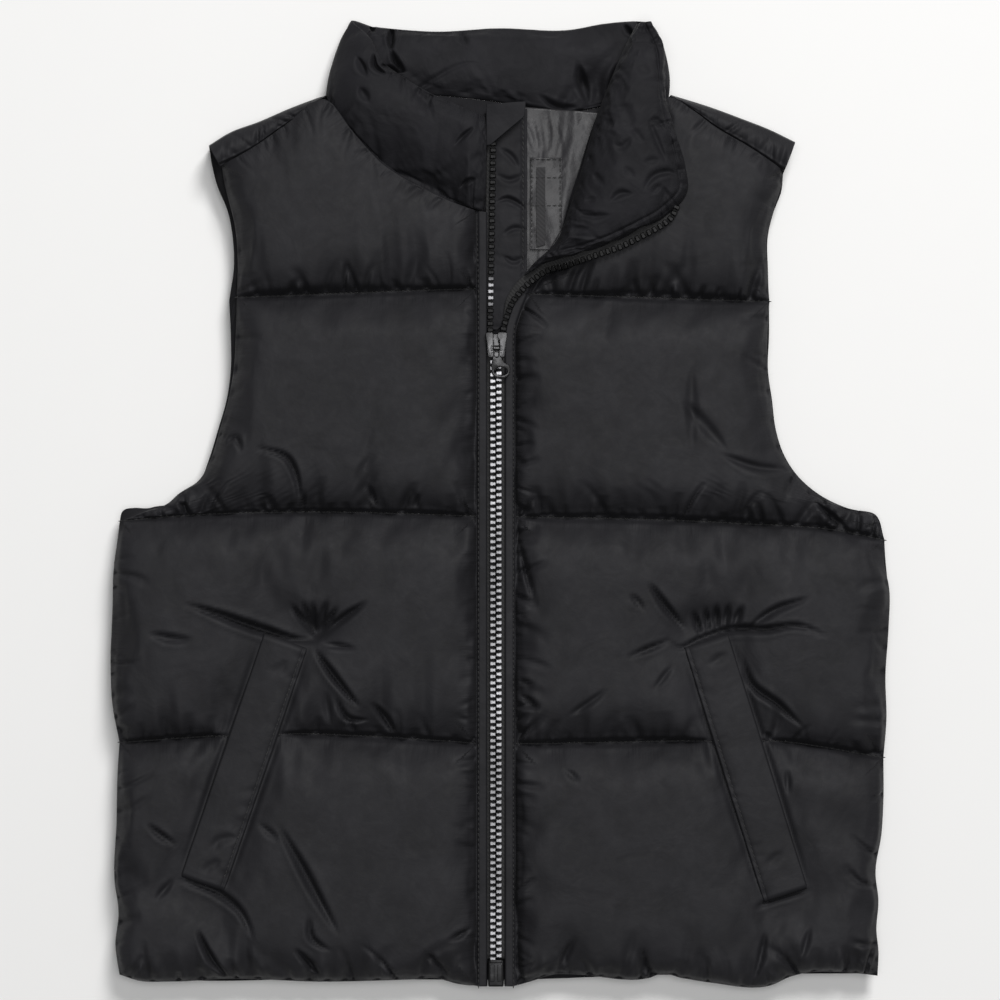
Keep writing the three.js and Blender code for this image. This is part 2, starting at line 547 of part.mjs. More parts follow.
function collarSolid() {
  const edge = (key) => new THREE.CatmullRomCurve3(COLLAR.map((row) => new THREE.Vector3(...row[key])));
  const [sewn, free] = [edge("sewn"), edge("free")];
  const middle = (t) => sewn.getPoint(t).lerp(free.getPoint(t), 0.5);
  const depth = (key, t) => {
    const at = t * (COLLAR.length - 1);
    const row = Math.min(Math.floor(at), COLLAR.length - 2);
    return THREE.MathUtils.lerp(COLLAR[row][key], COLLAR[row + 1][key], at - row);
  };
  const half = (full, w) => {
    const share = swell(Math.min(w, 1 - w), 0.5);
    return THREE.MathUtils.lerp(COLLAR_EDGE, full, share);
  };
  const sections = [];
  for (let i = 0; i <= COLLAR_STATIONS; i += 1) {
    const t = i / COLLAR_STATIONS;
    const [low, high] = [sewn.getPoint(t), free.getPoint(t)];
    const step = 0.5 / COLLAR_STATIONS;
    const run = middle(Math.min(t + step, 1)).sub(middle(Math.max(t - step, 0)));
    const out = high.clone().sub(low).cross(run).normalize();
    const face = (shares, key, way) => shares.map((w) => {
      const p = low.clone().lerp(high, w).addScaledVector(out, way * half(depth(key, t), w));
      return p.setZ(Math.max(p.z, 0));
    });
    sections.push([...face(COLLAR_SHARES, "outer", 1), ...face(COLLAR_INNER_SHARES, "inner", -1)]);
  }
  return loft(sections);
}
const collar = clearOfAll(collarSolid(), [rightFront, leftFront, backPanel]);

// The zip: two tapes, two rows of teeth, the box at the foot and the slider with its pull tab

function sliderSolid() {
  const { x, low, high, arms, waist } = SLIDER;
  const shoulder = THREE.MathUtils.lerp(low, high, SHOULDER);
  const base = TEETH.base + TEETH.thickness + SLIDER.over;
  const top = base + SLIDER.plate;
  const upper = table([x - waist / 2, low], [x + waist / 2, low], [x + arms / 2, shoulder],
    [x + arms / 2, high], [x + NOTCH.mouth, high], [x + NOTCH.root, high - NOTCH.depth],
    [x - NOTCH.root, high - NOTCH.depth], [x - NOTCH.mouth, high], [x - arms / 2, high],
    [x - arms / 2, shoulder]);
  const [west, east] = [ZIP_X - UNDER_PLATE.half, ZIP_X + UNDER_PLATE.half];
  const end = high - UNDER_PLATE.short;
  const lower = table([west, low], [east, low], [east, end], [west, end]);
  const post = box(POST.width, POST.length, base - UNDER_PLATE.base);
  const wallHeight = CROWN.z + CROWN.over - top + BITE;
  const walls = [-1, 1].map((side) => {
    const wall = box(CROWN.wall, CROWN.length, wallHeight);
    const across = x + side * (TAB.neck / 2 + GAP + CROWN.wall / 2);
    return solidOf(wall.translate(across, CROWN.y, top - BITE + wallHeight / 2));
  });
  const pinLength = TAB.neck + 2 * GAP + CROWN.wall;
  const pin = new THREE.CylinderGeometry(CROWN.pin, CROWN.pin, pinLength, 16).rotateZ(Math.PI / 2);
  return union([
    plate(upper, base, SLIDER.plate),
    plate(lower, UNDER_PLATE.base, TAPE.base - GAP - UNDER_PLATE.base),
    solidOf(post.translate(ZIP_X, high - POST.back, (base + UNDER_PLATE.base) / 2 + BITE)),
    ...walls,
    solidOf(pin.translate(x, CROWN.y, CROWN.z)),
  ]);
}
const slider = sliderSolid();

const rightTapeBox = box(TAPE.width, ZIP_TOP - ZIP_FOOT, TAPE.thickness).translate(
  ZIP_X - TEETH.meet - TAPE.width / 2, (ZIP_TOP + ZIP_FOOT) / 2, TAPE.base + TAPE.thickness / 2,
);
const rightTape = clearOf(solidOf(rightTapeBox), slider);
const lift = (points, z) => points.map((p) => new THREE.Vector3(p.x, p.y, z));
const rightTeeth = clearOf(bar(lift(RIGHT_ROW, TEETH.base), TEETH.width, TEETH.thickness), slider);

// The height of the left half's teeth: level with the right half's, or lying on the front's padding.
function rowHeight(x, y) {
  if (y < TURN.from) return TEETH.base;
  const spots = [-TEETH.width, 0, TEETH.width];
  const tops = spots.flatMap((dx) => spots.map((dy) => frontTop(LEFT_FRONT, x + dx, y + dy)));
  return Math.max(TEETH.base, Math.max(...tops) + ROW_LIFT);
}
const leftPath = [];
for (let i = 0; i <= ROW_STEPS; i += 1) {
  leftPath.push(along(LEFT_ROW, i / ROW_STEPS));
}
leftPath.splice(1, leftPath.findIndex((p) => p.y > ROW_STRAIGHT) - 1);
const leftTeethPath = leftPath.map((p) => new THREE.Vector3(p.x, p.y, rowHeight(p.x, p.y)));
const leftTapePath = leftTeethPath.map((p, i) => {
  const ahead = leftTeethPath[Math.min(i + 1, leftTeethPath.length - 1)];
  const behind = leftTeethPath[Math.max(i - 1, 0)];
  const side = new THREE.Vector3(ahead.y - behind.y, behind.x - ahead.x, 0).normalize();
  const turned = THREE.MathUtils.smoothstep(p.y, TURN.from, TURN.to);
  const beside = (TAPE.width - TEETH.width) / 2;
  const moved = p.clone().addScaledVector(side, THREE.MathUtils.lerp(beside, -beside, turned));
  return moved.setZ(p.z - TEETH.base + TAPE.base);
});
const leftTeeth = clearOfAll(bar(leftTeethPath, TEETH.width, TEETH.thickness), [leftFront, slider]);
const leftTape = clearOfAll(bar(leftTapePath, TAPE.width, TAPE.thickness), [leftFront, slider, leftTeeth]);

const zipBox = solidOf(
  box(ZIP_BOX.width, ZIP_BOX.length, ZIP_BOX.thickness).translate(
    ZIP_X, ZIP_BOX.foot + ZIP_BOX.length / 2, ZIP_BOX.base + ZIP_BOX.thickness / 2,
  ),
);

// The pull tab in its own plane, with the pin at the origin: its two edges from the eye down to the ring,
// the ring's outer half circle, and the opening in it
const TAB_WEST = table([-1.6, -1], [-1.6, -3.4], [-2.2, -5.5]);
const TAB_EAST = table([3.4, -6.5], [1.6, -3.4], [1.6, -1]);
const RING = { x: 2.3, y: -11.7, radius: 5.1 };
const RING_HOLE = { x: 2.4, y: -12.9, halfWidth: 3.6, halfHeight: 2 };

// The pull tab hangs from the crown's pin and widens to a ring at its lower end.
function tabSolid() {
  const outline = new THREE.Path(TAB_WEST);
  outline.absarc(RING.x, RING.y, RING.radius, Math.PI, 2 * Math.PI, false);
  const edge = [...outline.getPoints(8), ...TAB_EAST];
  const { x, y, halfWidth, halfHeight } = RING_HOLE;
  const hole = new THREE.Path().absellipse(x, y, halfWidth, halfHeight, 0, 2 * Math.PI, true);
  const blade = plate(edge, -TAB.thickness / 2, TAB.thickness, [hole]);
  const eyeShape = new THREE.Shape().absarc(0, 0, TAB.eye, 0, 2 * Math.PI, false);
  eyeShape.holes = [new THREE.Path().absarc(0, 0, TAB.hole, 0, 2 * Math.PI, true)];
  const eye = new THREE.ExtrudeGeometry(eyeShape, { depth: TAB.neck, bevelEnabled: false });
  eye.rotateY(Math.PI / 2).translate(-TAB.neck / 2, 0, 0);
  return blade.add(solidOf(eye)).rotate([TAB_DROOP, 0, 0]).translate([SLIDER.x, CROWN.y, CROWN.z]);
}
const pullTab = tabSolid();

// The turned back front edge, over the front and the collar

function lapelSolid() {
  const curve = (key) => new THREE.CatmullRomCurve3(LAPEL.map((row) => new THREE.Vector3(...row[key], 0)));
  const [roll, rim] = [curve("roll"), curve("rim")];
  const column = (key, t) => {
    const at = t * (LAPEL.length - 1);
    const row = Math.min(Math.floor(at), LAPEL.length - 2);
    return THREE.MathUtils.lerp(LAPEL[row][key], LAPEL[row + 1][key], at - row);
  };
  const sections = [];
  for (let i = 0; i <= LAPEL_STEPS; i += 1) {
    const t = i / LAPEL_STEPS;
    const [from, to] = [roll.getPoint(t), rim.getPoint(t)];
    const top = LAPEL_SHARES.map((w) => {
      const fullness = swell(Math.min(w, 1 - w), 0.5);
      const level = THREE.MathUtils.lerp(column("rollTop", t), column("rimTop", t), w);
      const lip = LAPEL_LIP * (1 - swell(Math.min(w, 1 - w), 0.14));
      return from.clone().lerp(to, w).setZ(level + column("crown", t) * fullness - lip);
    });
    const outward = from.clone().sub(to).normalize();
    const round = LAPEL_ROUND.map((share) => {
      const height = THREE.MathUtils.lerp(LAPEL_FLOOR, top[0].z, share);
      return from.clone().addScaledVector(outward, LAPEL_BULGE * Math.sin(Math.PI * share)).setZ(height);
    });
    sections.push([...top, to.clone().setZ(LAPEL_FLOOR), from.clone().setZ(LAPEL_FLOOR), ...round]);
  }
  return loft(sections);
}
const overFront = clearOf(lapelSolid(), leftFront, OVER_AND_WEST);
const lapel = clearOfAll(overFront, [collar, backPanel, leftTeeth, leftTape]);

// What shows in the neck opening, and the pocket welts

const lining = clearOfAll(plate(LINING_OUTLINE, LINING.base, LINING.thickness), [leftFront, collar]);
const patch = plate(PATCH_OUTLINE, PATCH.base, PATCH.thickness);
const flap = clearOfAll(plate(FLAP_OUTLINE, FLAP.base, FLAP.thickness), [leftFront, rightFront, collar]);
const guard = clearOf(plate(GUARD_OUTLINE, GUARD.base, GUARD.thickness), collar);

const WELT_ALONG = [0, 0.03, 0.1, 0.2, 0.3, 0.4, 0.5, 0.6, 0.7, 0.8, 0.9, 0.97, 1];
const WELT_ACROSS = [-1, -0.9, -0.5, 0, 0.5, 0.9, 1];

// A welt is made from the front's points under it, moved out.
function weltSolid({ panel, from, to }) {
  const [start, end] = [point(from), point(to)];
  const side = end.clone().sub(start).normalize();
  side.set(side.y, -side.x).multiplyScalar(WELT.width / 2);
  const rows = WELT_ALONG.map((t) =>
    WELT_ACROSS.map((w) => start.clone().lerp(end, t).addScaledVector(side, w)));
  const outer = (x, y) => frontTop(panel, x, y) + WELT.thickness;
  return clearOf(slab(rows, outer, FRONT_BASE + SEAM), panel === RIGHT_FRONT ? rightFront : leftFront);
}

// Export

const COLOURS = {
  shell: { color: 0x2f3032, roughness: 0.62, metalness: 0 },
  lining: { color: 0x555255, roughness: 0.5, metalness: 0 },
  tape: { color: 0x1c1c1e, roughness: 0.85, metalness: 0 },
  teeth: { color: 0x4a4a4c, roughness: 0.35, metalness: 0.6 },
  metal: { color: 0x77777a, roughness: 0.3, metalness: 0.9 },
};
const materials = Object.fromEntries(
  Object.entries(COLOURS).map(([name, values]) => [name, new THREE.MeshStandardMaterial(values)]),
);

const vest = new THREE.Group();

function addPiece(name, solid, material) {
  const { vertProperties, triVerts } = solid.getMesh();
  const geometry = new THREE.BufferGeometry();
  geometry.setAttribute("position", new THREE.BufferAttribute(vertProperties, 3));
  geometry.setIndex(new THREE.BufferAttribute(triVerts, 1));
  geometry.computeVertexNormals();
  const piece = new THREE.Mesh(geometry, materials[material]);
  piece.name = name;
  vest.add(piece);
}

addPiece("back_panel", backPanel, "shell");
addPiece("front_right", rightFront, "shell");
addPiece("front_left", leftFront, "shell");
addPiece("collar", collar, "shell");
addPiece("lapel_left", lapel, "shell");
Object.entries(WELTS).forEach(([name, welt]) => addPiece(name, weltSolid(welt), "shell"));
addPiece("neck_lining", lining, "lining");
addPiece("lining_patch", patch, "lining");
addPiece("wind_flap", flap, "shell");
addPiece("zip_garage", guard, "shell");
addPiece("zip_tape_right", rightTape, "tape");
addPiece("zip_tape_left", leftTape, "tape");
addPiece("zip_teeth_right", rightTeeth, "teeth");
addPiece("zip_teeth_left", leftTeeth, "teeth");
addPiece("zip_box", zipBox, "teeth");
addPiece("zip_slider", slider, "metal");
addPiece("pull_tab", pullTab, "metal");

export default vest;
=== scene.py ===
# A child's quilted puffer vest that lies flat on its back, with the wearer's left front turned open at
# the neck. X runs across the vest with the wearer's left at +X, Y runs from the hem to the collar and Z
# points up. The tables and the shape's sizes are in millimetres, and meshes are in metres.

import math

import bmesh
import bpy
import numpy as np
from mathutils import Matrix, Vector
from mathutils.bvhtree import BVHTree


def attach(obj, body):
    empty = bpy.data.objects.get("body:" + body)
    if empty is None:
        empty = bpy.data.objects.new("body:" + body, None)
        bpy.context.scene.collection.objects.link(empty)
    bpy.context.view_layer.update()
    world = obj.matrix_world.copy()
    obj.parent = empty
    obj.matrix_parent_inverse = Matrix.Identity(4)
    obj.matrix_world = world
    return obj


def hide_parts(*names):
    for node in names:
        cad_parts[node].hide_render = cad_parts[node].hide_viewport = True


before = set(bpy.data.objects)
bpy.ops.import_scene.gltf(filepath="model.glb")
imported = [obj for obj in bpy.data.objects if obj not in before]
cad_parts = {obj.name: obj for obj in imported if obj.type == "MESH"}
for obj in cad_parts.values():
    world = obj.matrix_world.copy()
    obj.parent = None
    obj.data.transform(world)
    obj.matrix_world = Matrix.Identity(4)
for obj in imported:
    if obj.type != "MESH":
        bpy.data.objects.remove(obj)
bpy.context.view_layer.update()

bl_info = {
    "name": "Puffer vest",
    "version": (1, 0, 0),
    "blender": (4, 5, 0),
    "location": "View3D > Sidebar > Vest",
    "description": "Builds a quilted puffer vest that lies flat",
    "category": "Add Mesh",
}

MM = 0.001
BODY = "vest"
TAB_BODY = "tab"

# Driving sizes in millimetres

BACK_TOP = 14.0  # inner face of the back
FRONT_BASE = 14.3  # inner face of the fronts
SEAM = 2.6  # thickness of padded cloth at a stitch line
EDGE_REACH = 16.0  # distance from an edge at which the padding is full
STITCH_REACH = 28.0  # the same from a stitch line
ZIP_REACH = 9.0  # the same beside the zip
PUFF_POWER = 2.2
PUFF_ROUND = 0.72  # below 1, the padding stands up steeply at a seam
BACK_STITCH_REACH = 22.0
NECK_SHARE = 0.76  # how full the fronts are at the shoulder and the neck

ZIP_X = -2.2
PLACKET = 5.2
PLACKET_EDGE = PLACKET + 0.6
PLACKET_RISE = 7.2
FAR_FROM_SEAM = 30.0  # seam distance of cloth that has no fine puckers
SEAM_SHIFT = 500  # keeps the seam coordinates of different seams apart
ZIP_OFFSETS = (0, 1.3, 3.2, 5.2, 6.6, 8.6, 11.4)

WELT = {"width": 25.0, "thickness": 1.1, "level": 0.8, "fade": 12.0}
TEETH_Z = 20.3
TAPE_TOP = 19.9
TEETH_HEIGHT = 2.7
TEETH_PITCH = 3.43
PIN = (-1.9, 82.1, 27.0)  # middle of the pin that the pull tab hangs on
TAB_SLOPE = 9  # degrees by which the pull tab slopes at rest
LINING_Z = 15.25
PATCH_Z = 16.25
FLAP_Z = 17.6
FLAP_WEST = -7.4
FLAP_EAST = 14.6
GARAGE_Z = 25.0
LAPEL_FOOT = 17.5  # how low the sides of the turned back edge reach
FRONT_COLUMNS, FRONT_ROW_STEP = 46, 4.4
BACK_COLUMNS, BACK_ROW_STEP = 96, 3.9


def table(*rows):
    return np.array(rows, float)


RIGHT_FRONT = {
    "lines": [
        table((-205.2, -255.4), (-194.4, -258.7), (-178, -259.2), (-145.8, -257.6), (-97.2, -259.2),
              (-48.6, -258.1), (-32.4, -257.6), (-25.9, -259.7), (-16.2, -261.2), (-6.8, -261.2)),
        table((-205.2, -130.1), (-149.6, -126.4), (-115, -125.3), (-77.2, -126.4), (-12.4, -130.7),
              (-6.8, -131.2)),
        table((-204.7, -10.8), (-167.4, -7.6), (-95.6, -5.9), (-14.6, -8.1), (-6.8, -8.4)),
        table((-142, 109.8), (-14.6, 114.5), (-6.8, 114.7)),
        table((-150.1, 180.4), (-135, 188.5), (-116.1, 201.4), (-94.5, 215.8), (-78.3, 197.6),
              (-62.1, 180.4), (-43.2, 169.2), (-24.3, 160.2), (-14, 156.7), (-6.8, 155.4)),
    ],
    "west": [
        table((-207.4, -239.8), (-205.7, -221.9), (-207.9, -204.7), (-206.8, -172.3), (-206.3, -148)),
        table((-209, -110.2), (-210, -88.6), (-209, -58.9), (-208.4, -37.3)),
        table((-190, -5), (-179.8, -1.8), (-173.2, 4), (-162, 11.5), (-156, 22.7), (-151.2, 38.3),
              (-146.3, 55.6), (-143.6, 71.8), (-142.6, 89.6)),
        table((-141.5, 129.1), (-142.6, 145.3), (-149, 173.3)),
    ],
    "east": [None, None, None, None],
    "zip": "east",
}

LEFT_FRONT = {
    "lines": [
        table((2.4, -261.2), (8.1, -261.2), (16.2, -259.2), (28.6, -255.4), (40.5, -255.4), (81, -257),
              (87.5, -254.9), (97.2, -257), (113.4, -259.7), (148.5, -260.3), (153.9, -257.6),
              (194.4, -254.9), (203.6, -256)),
        table((2.4, -130.7), (10.8, -130.7), (111.8, -129.1), (145.8, -129.1), (206.8, -138.2)),
        table((2.4, -8.4), (17.8, -8.6), (125.8, -11.9), (187.4, -16.7), (207.4, -21.1)),
        table((9.2, 111.8), (34, 111.2), (145.3, 107.5)),
        table((44.8, 169), (59.9, 181.4), (76.1, 197.6), (90.7, 217), (104.2, 209.5), (115, 201.4),
              (132.3, 191.2), (145.8, 182.5), (152.8, 177.7)),
    ],
    "west": [
        None,
        None,
        table((2.4, 30), (2.4, 70), (2.4, 86), (2.9, 93), (4.9, 100.4)),
        table((14.6, 122), (20.5, 128), (28.1, 134.5), (35.6, 145.3), (41, 162.5)),
    ],
    "east": [
        table((204.1, -242.5), (203, -231.7), (204.1, -215.5), (202.5, -200.3), (205.7, -179.8),
              (206.8, -161.5)),
        table((208.4, -118.3), (207.9, -94), (209.5, -69.7), (210, -48.1), (206.8, -29.7)),
        table((202.4, -8.2), (189, -4.6), (171, 4), (160, 14), (152.6, 24.8), (148.5, 38.3),
              (146.3, 54.5), (144.2, 70.7), (144.2, 89.6)),
        table((144.2, 124.7), (143.6, 140.9), (146.9, 155), (151.7, 170.6)),
    ],
    "zip": "west",
}

BACK = {
    "lines": [
        table((-205.2, -254.6), (-178, -258), (-97.2, -258), (-10, -258.5), (0, -258.5), (81, -256),
              (203, -255)),
        table((-205.2, -130.1), (-115, -127), (0, -128), (111.8, -128), (206.8, -138.2)),
        table((-205.5, -12), (-95.6, -8), (0, -8), (125.8, -12), (207.5, -20.5)),
        table((-146.2, 108), (0, 112), (145.3, 108)),
        table((-157.1, 191.2), (-145.3, 198.2), (-129.6, 204.1), (-113.4, 211.1), (-93.4, 218.4),
              (-60, 220), (-37.8, 219.2), (-10.8, 216.5), (14.6, 212.8), (32.4, 210), (56.7, 212.8),
              (75.6, 216), (90.7, 218.4), (113.4, 211.7), (129.6, 205.7), (145.8, 199.3), (159.3, 192.8)),
    ],
    "west": [
        table((-206.8, -239.8), (-205.2, -221.9), (-207.4, -204.7), (-206.3, -172.3), (-206, -148)),
        table((-208.5, -110.2), (-209.5, -88.6), (-208.5, -58.9), (-208, -37.3)),
        table((-204.1, -5.9), (-189, -3.8), (-179.3, -1.6), (-172.8, 4.3), (-162, 11.3), (-157.1, 22.7),
              (-152.3, 38.3), (-147.4, 55.6), (-145.3, 71.8), (-145.3, 86.9)),
        table((-143.6, 129.1), (-144.2, 140.9), (-146.9, 156.1), (-152.8, 170.6), (-155.5, 181.4)),
    ],
    "east": [
        table((203.6, -242.5), (202.6, -231.7), (203.6, -215.5), (202, -200.3), (205.2, -179.8),
              (206.3, -161.5)),
        table((208, -118.3), (207.5, -94), (209, -69.7), (209.5, -48.1), (208, -29.7)),
        table((203, -7.6), (189, -4.3), (171.2, 4.3), (160.4, 14), (153.4, 24.8), (149, 38.3),
              (146.9, 54.5), (144.7, 70.7), (145.3, 89.6)),
        table((144.7, 124.7), (144.7, 143.6), (147.4, 155), (152.3, 169), (152.8, 176), (156.1, 186.8)),
    ],
    "zip": None,
}

WELTS = {
    "pocket_welt_right": {"panel": "front_right", "from": (-115, -75.1), "to": (-159.8, -205.7)},
    "pocket_welt_left": {"panel": "front_left", "from": (110.7, -75.1), "to": (153.4, -211.7)},
}

# Creases in the fronts: the line of each, its depth and its half width

CREASES = {
    "front_right": [
        (((-168, -55.6), (-154, -60), (-136.6, -66.4), (-125.3, -70.2), (-105.3, -75), (-98.3, -75)),
         4.6, 2.8),
        (((-98.3, -74), (-85.3, -63.7), (-71.3, -54)), 3.4, 2.4),
        (((-97.2, -76.7), (-86.4, -77.8), (-77.2, -79.4)), 2.2, 1.9),
        (((-99.9, -79.4), (-88.6, -95), (-75.6, -110.7)), 4.4, 2.2),
        (((-88.6, -105.3), (-81.5, -116.6), (-71.3, -117.7)), 2.6, 1.9),
        (((-81.5, -116.6), (-77.2, -126.4)), 2.2, 1.7),
        (((-68.6, -108), (-60, -119.3), (-55.6, -127)), 3.2, 2.1),
        (((-94, -102), (-91.3, -121)), 1.3, 2.4),
        (((-188, -71.3), (-175.5, -74), (-165.2, -74.5)), 1.9, 2.6),
        (((-173.9, -203), (-149.6, -211.7), (-139.3, -220.3), (-132.3, -234.4)), 2.9, 2.5),
        (((-175, -203), (-185.2, -214.4)), 1.3, 2.0),
        (((-189.5, -173.3), (-182, -179.3), (-173.9, -184.7)), 2.0, 2.0),
        (((-129.6, -173.3), (-118.3, -182)), 1.5, 2.0),
        (((-118.3, -175), (-107, -195), (-96.7, -214.4), (-87, -231.7)), 3.2, 2.8),
        (((-162.5, -230), (-155, -245.7), (-145.3, -257)), 3.4, 2.2),
        (((-102.6, -223), (-101, -234.4), (-91.3, -241.4)), 2.4, 2.0),
        (((-109.6, -240.3), (-97.2, -254.3)), 3.4, 2.1),
        (((-40, -241.4), (-28.6, -254.3)), 2.0, 1.8),
        (((-27.5, -236), (-14.6, -229)), 2.4, 1.8),
        (((-71.3, 9.7), (-66, -4.3)), 2.2, 1.6),
        (((-47, -4.3), (-43.2, 4.3)), 2.0, 1.6),
        (((-146.9, 31.3), (-142.6, 34), (-138.2, 27)), 2.0, 1.8),
        (((-131.2, 28.6), (-114, 22.7), (-108.5, 9.7), (-108, -2.7)), 2.8, 2.0),
        (((-107, -4.3), (-104.2, 4.3)), 1.8, 1.5),
        (((-173.5, -0.5), (-170.5, -3), (-167, -8)), 3.4, 2.0),
        (((-98.3, -73.5), (-112.3, -55.6)), 3.4, 2.1),
        (((-98.3, -73.5), (-106.4, -54)), 3.4, 2.1),
        (((-98.3, -73.5), (-101, -54)), 3.4, 2.1),
        (((-98.3, -73.5), (-92.9, -53)), 3.4, 2.1),
        (((-98.3, -73.5), (-87.5, -57)), 3.4, 2.1),
    ],
    "front_left": [
        (((79.9, -44.3), (91.3, -60), (99.4, -69)), 3.4, 2.4),
        (((69.7, -49.7), (77.2, -58.3)), 1.5, 1.8),
        (((89.6, -74), (95.6, -78.8), (108, -74), (125.3, -69), (142.6, -69), (159.3, -67), (175, -72.4)),
         3.8, 2.3),
        (((131.2, -69.7), (148, -58.3), (165.2, -52.4)), 2.8, 2.4),
        (((68.6, -83.7), (81, -78.8), (91.3, -75)), 2.2, 1.8),
        (((92.9, -88), (82.6, -101)), 1.3, 1.6),
        (((57.2, -101), (45.9, -109.6), (37.3, -115)), 1.3, 2.0),
        (((129.6, -83.7), (135, -98.3), (149.6, -109.6), (162, -121)), 3.6, 2.3),
        (((142.6, -123.7), (146, -129)), 2.0, 1.8),
        (((136.6, -218.7), (148, -213.3), (166.3, -209)), 3.2, 2.1),
        (((142.6, -231.7), (139.3, -248.4), (136.6, -257)), 2.4, 2.0),
        (((30.2, -254.3), (40, -234.4)), 2.0, 2.4),
        (((162, -245.7), (166.3, -229)), 1.6, 2.0),
        (((10, -20), (13.5, -36), (19, -55.6)), 2.8, 2.0),
        (((9.4, -104), (14, -106), (20, -112)), 2.6, 2.2),
        (((9.5, -96), (18, -99)), 2.0, 2.0),
        (((97.2, 54.5), (121.5, 27.5)), 1.3, 4.0),
        (((102.6, 70), (103, 28)), 0.9, 4.0),
        (((118.8, 24.8), (138, 18), (156.6, 16.7)), 1.7, 3.0),
        (((108, -72), (103.7, -59)), 3.4, 2.0),
        (((112.3, -70.5), (110, -56.8)), 3.0, 1.8),
        (((116.6, -69.5), (116, -55.7)), 3.6, 2.2),
        (((121, -69), (122.6, -55)), 3.0, 1.9),
        (((125.3, -68.5), (130, -56)), 3.0, 2.0),
        (((153.9, -143.6), (155, -157.7)), 1.3, 1.5),
        (((170, -1), (178.5, -8.5), (188.5, -17.5)), 4.0, 2.4),
        (((34.6, -143.6), (42.7, -150.7)), 1.1, 2.0),
    ],
}

# Soft gathers over the pocket tops: centre, depth and radii

GATHERS = [
    ((-99.0, -66.0), 4.6, (13.0, 8.0)),
    ((-98.5, -72.0), 5.0, (8.0, 4.0)),
    ((114.0, -66.0), 4.6, (14.0, 7.0)),
]

# Puckers along the seams of each channel: strength, mean length and spacing, in millimetres. A channel's
# seams are the line below it, the line above it, its outer edge and its zip edge.

PUCKERS = {
    "front_right": [
        {"below": (2.6, 18, 9), "above": (0.4, 6, 13), "outer": (1.8, 13, 12), "zip": (1.8, 8, 8)},
        {"below": (1.7, 10, 8), "above": (0.3, 5, 14), "outer": (1.7, 13, 12), "zip": (1.6, 8, 8)},
        {"below": (2.4, 12, 8), "above": (0.3, 5, 14), "outer": (1.4, 11, 13), "zip": (1.2, 7, 9)},
        {"below": (2.4, 13, 8), "above": (1.2, 10, 12), "outer": (1.0, 10, 13), "zip": (1.0, 6, 10)},
    ],
    "front_left": [
        {"below": (2.8, 19, 8), "above": (0.3, 5, 13), "outer": (1.9, 13, 12), "zip": (2.2, 10, 8)},
        {"below": (1.9, 11, 8), "above": (0.3, 5, 14), "outer": (1.8, 13, 12), "zip": (2.8, 13, 8)},
        {"below": (3.0, 15, 7), "above": (0.3, 5, 14), "outer": (1.4, 11, 13), "zip": (2.2, 10, 8)},
        {"below": (2.6, 14, 7), "above": (1.2, 10, 12), "outer": (1.0, 10, 13), "zip": (0.8, 6, 11)},
    ],
    "back": [
        {"below": (1.2, 14, 14), "above": (0.5, 8, 14), "outer": (1.2, 12, 14)},
        {"below": (1.0, 10, 14), "above": (0.4, 7, 15), "outer": (1.2, 12, 14)},
        {"below": (1.0, 12, 14), "above": (0.4, 7, 15), "outer": (1.0, 12, 14)},
        {"below": (1.0, 12, 14), "above": (0.8, 12, 14), "outer": (0.8, 12, 15)},
    ],
}

# Sections of the collar, round from the zip: sewn edge, free edge, and how far the padding stands out
# from the line between them on the outer and the inner side

COLLAR = [
    ((-8.2, 155.6, 19.5), (-8.2, 206.5, 23), 6, 3),
    ((-12.5, 156.8, 20), (-11, 208, 23.5), 8.5, 4),
    ((-24.3, 160.8, 20.5), (-24.3, 213.8, 24), 9.5, 4.5),
    ((-43.2, 169.6, 20.5), (-37.8, 219.2, 24.5), 9.5, 4.5),
    ((-62.1, 180.8, 20.5), (-52, 228, 24.5), 9, 4),
    ((-78.3, 197.8, 20.5), (-62, 236, 24), 8.5, 4),
    ((-88.6, 210.4, 19), (-69, 249, 22), 7, 3),
    ((-91.8, 219, 14.5), (-79, 259.4, 14), 2.6, 2.6),
    ((-86, 219.4, 12.4), (-68, 259, 6.6), 7, 3.2),
    ((-60, 220.8, 12), (-48.6, 257.5, 6.5), 8.5, 4),
    ((-30, 219.2, 12), (-30, 257, 6.5), 8.8, 4.2),
    ((0, 215.8, 12), (0, 258.6, 6.5), 8.8, 4.2),
    ((32.4, 210.8, 12), (32, 257.5, 6.5), 8.8, 4.2),
    ((58, 213.8, 12), (56, 260.6, 6.5), 8.5, 4),
    ((81, 218, 12.4), (74, 261.4, 6.6), 7, 3.2),
    ((87.4, 218.6, 14.5), (80, 257.6, 14), 4.6, 2.6),
    ((85, 211.2, 19.5), (76, 246, 21), 6, 3),
    ((70.8, 192.4, 21), (66.5, 231, 23), 7.5, 3.5),
    ((59.4, 181.4, 21), (57.5, 207, 22), 7, 3),
    ((49.5, 174, 20.5), (49.8, 186, 21), 4, 2.5),
]

# The turned back front edge: rows across it from the roll to the outer edge, the heights of its top at
# both, and its crown

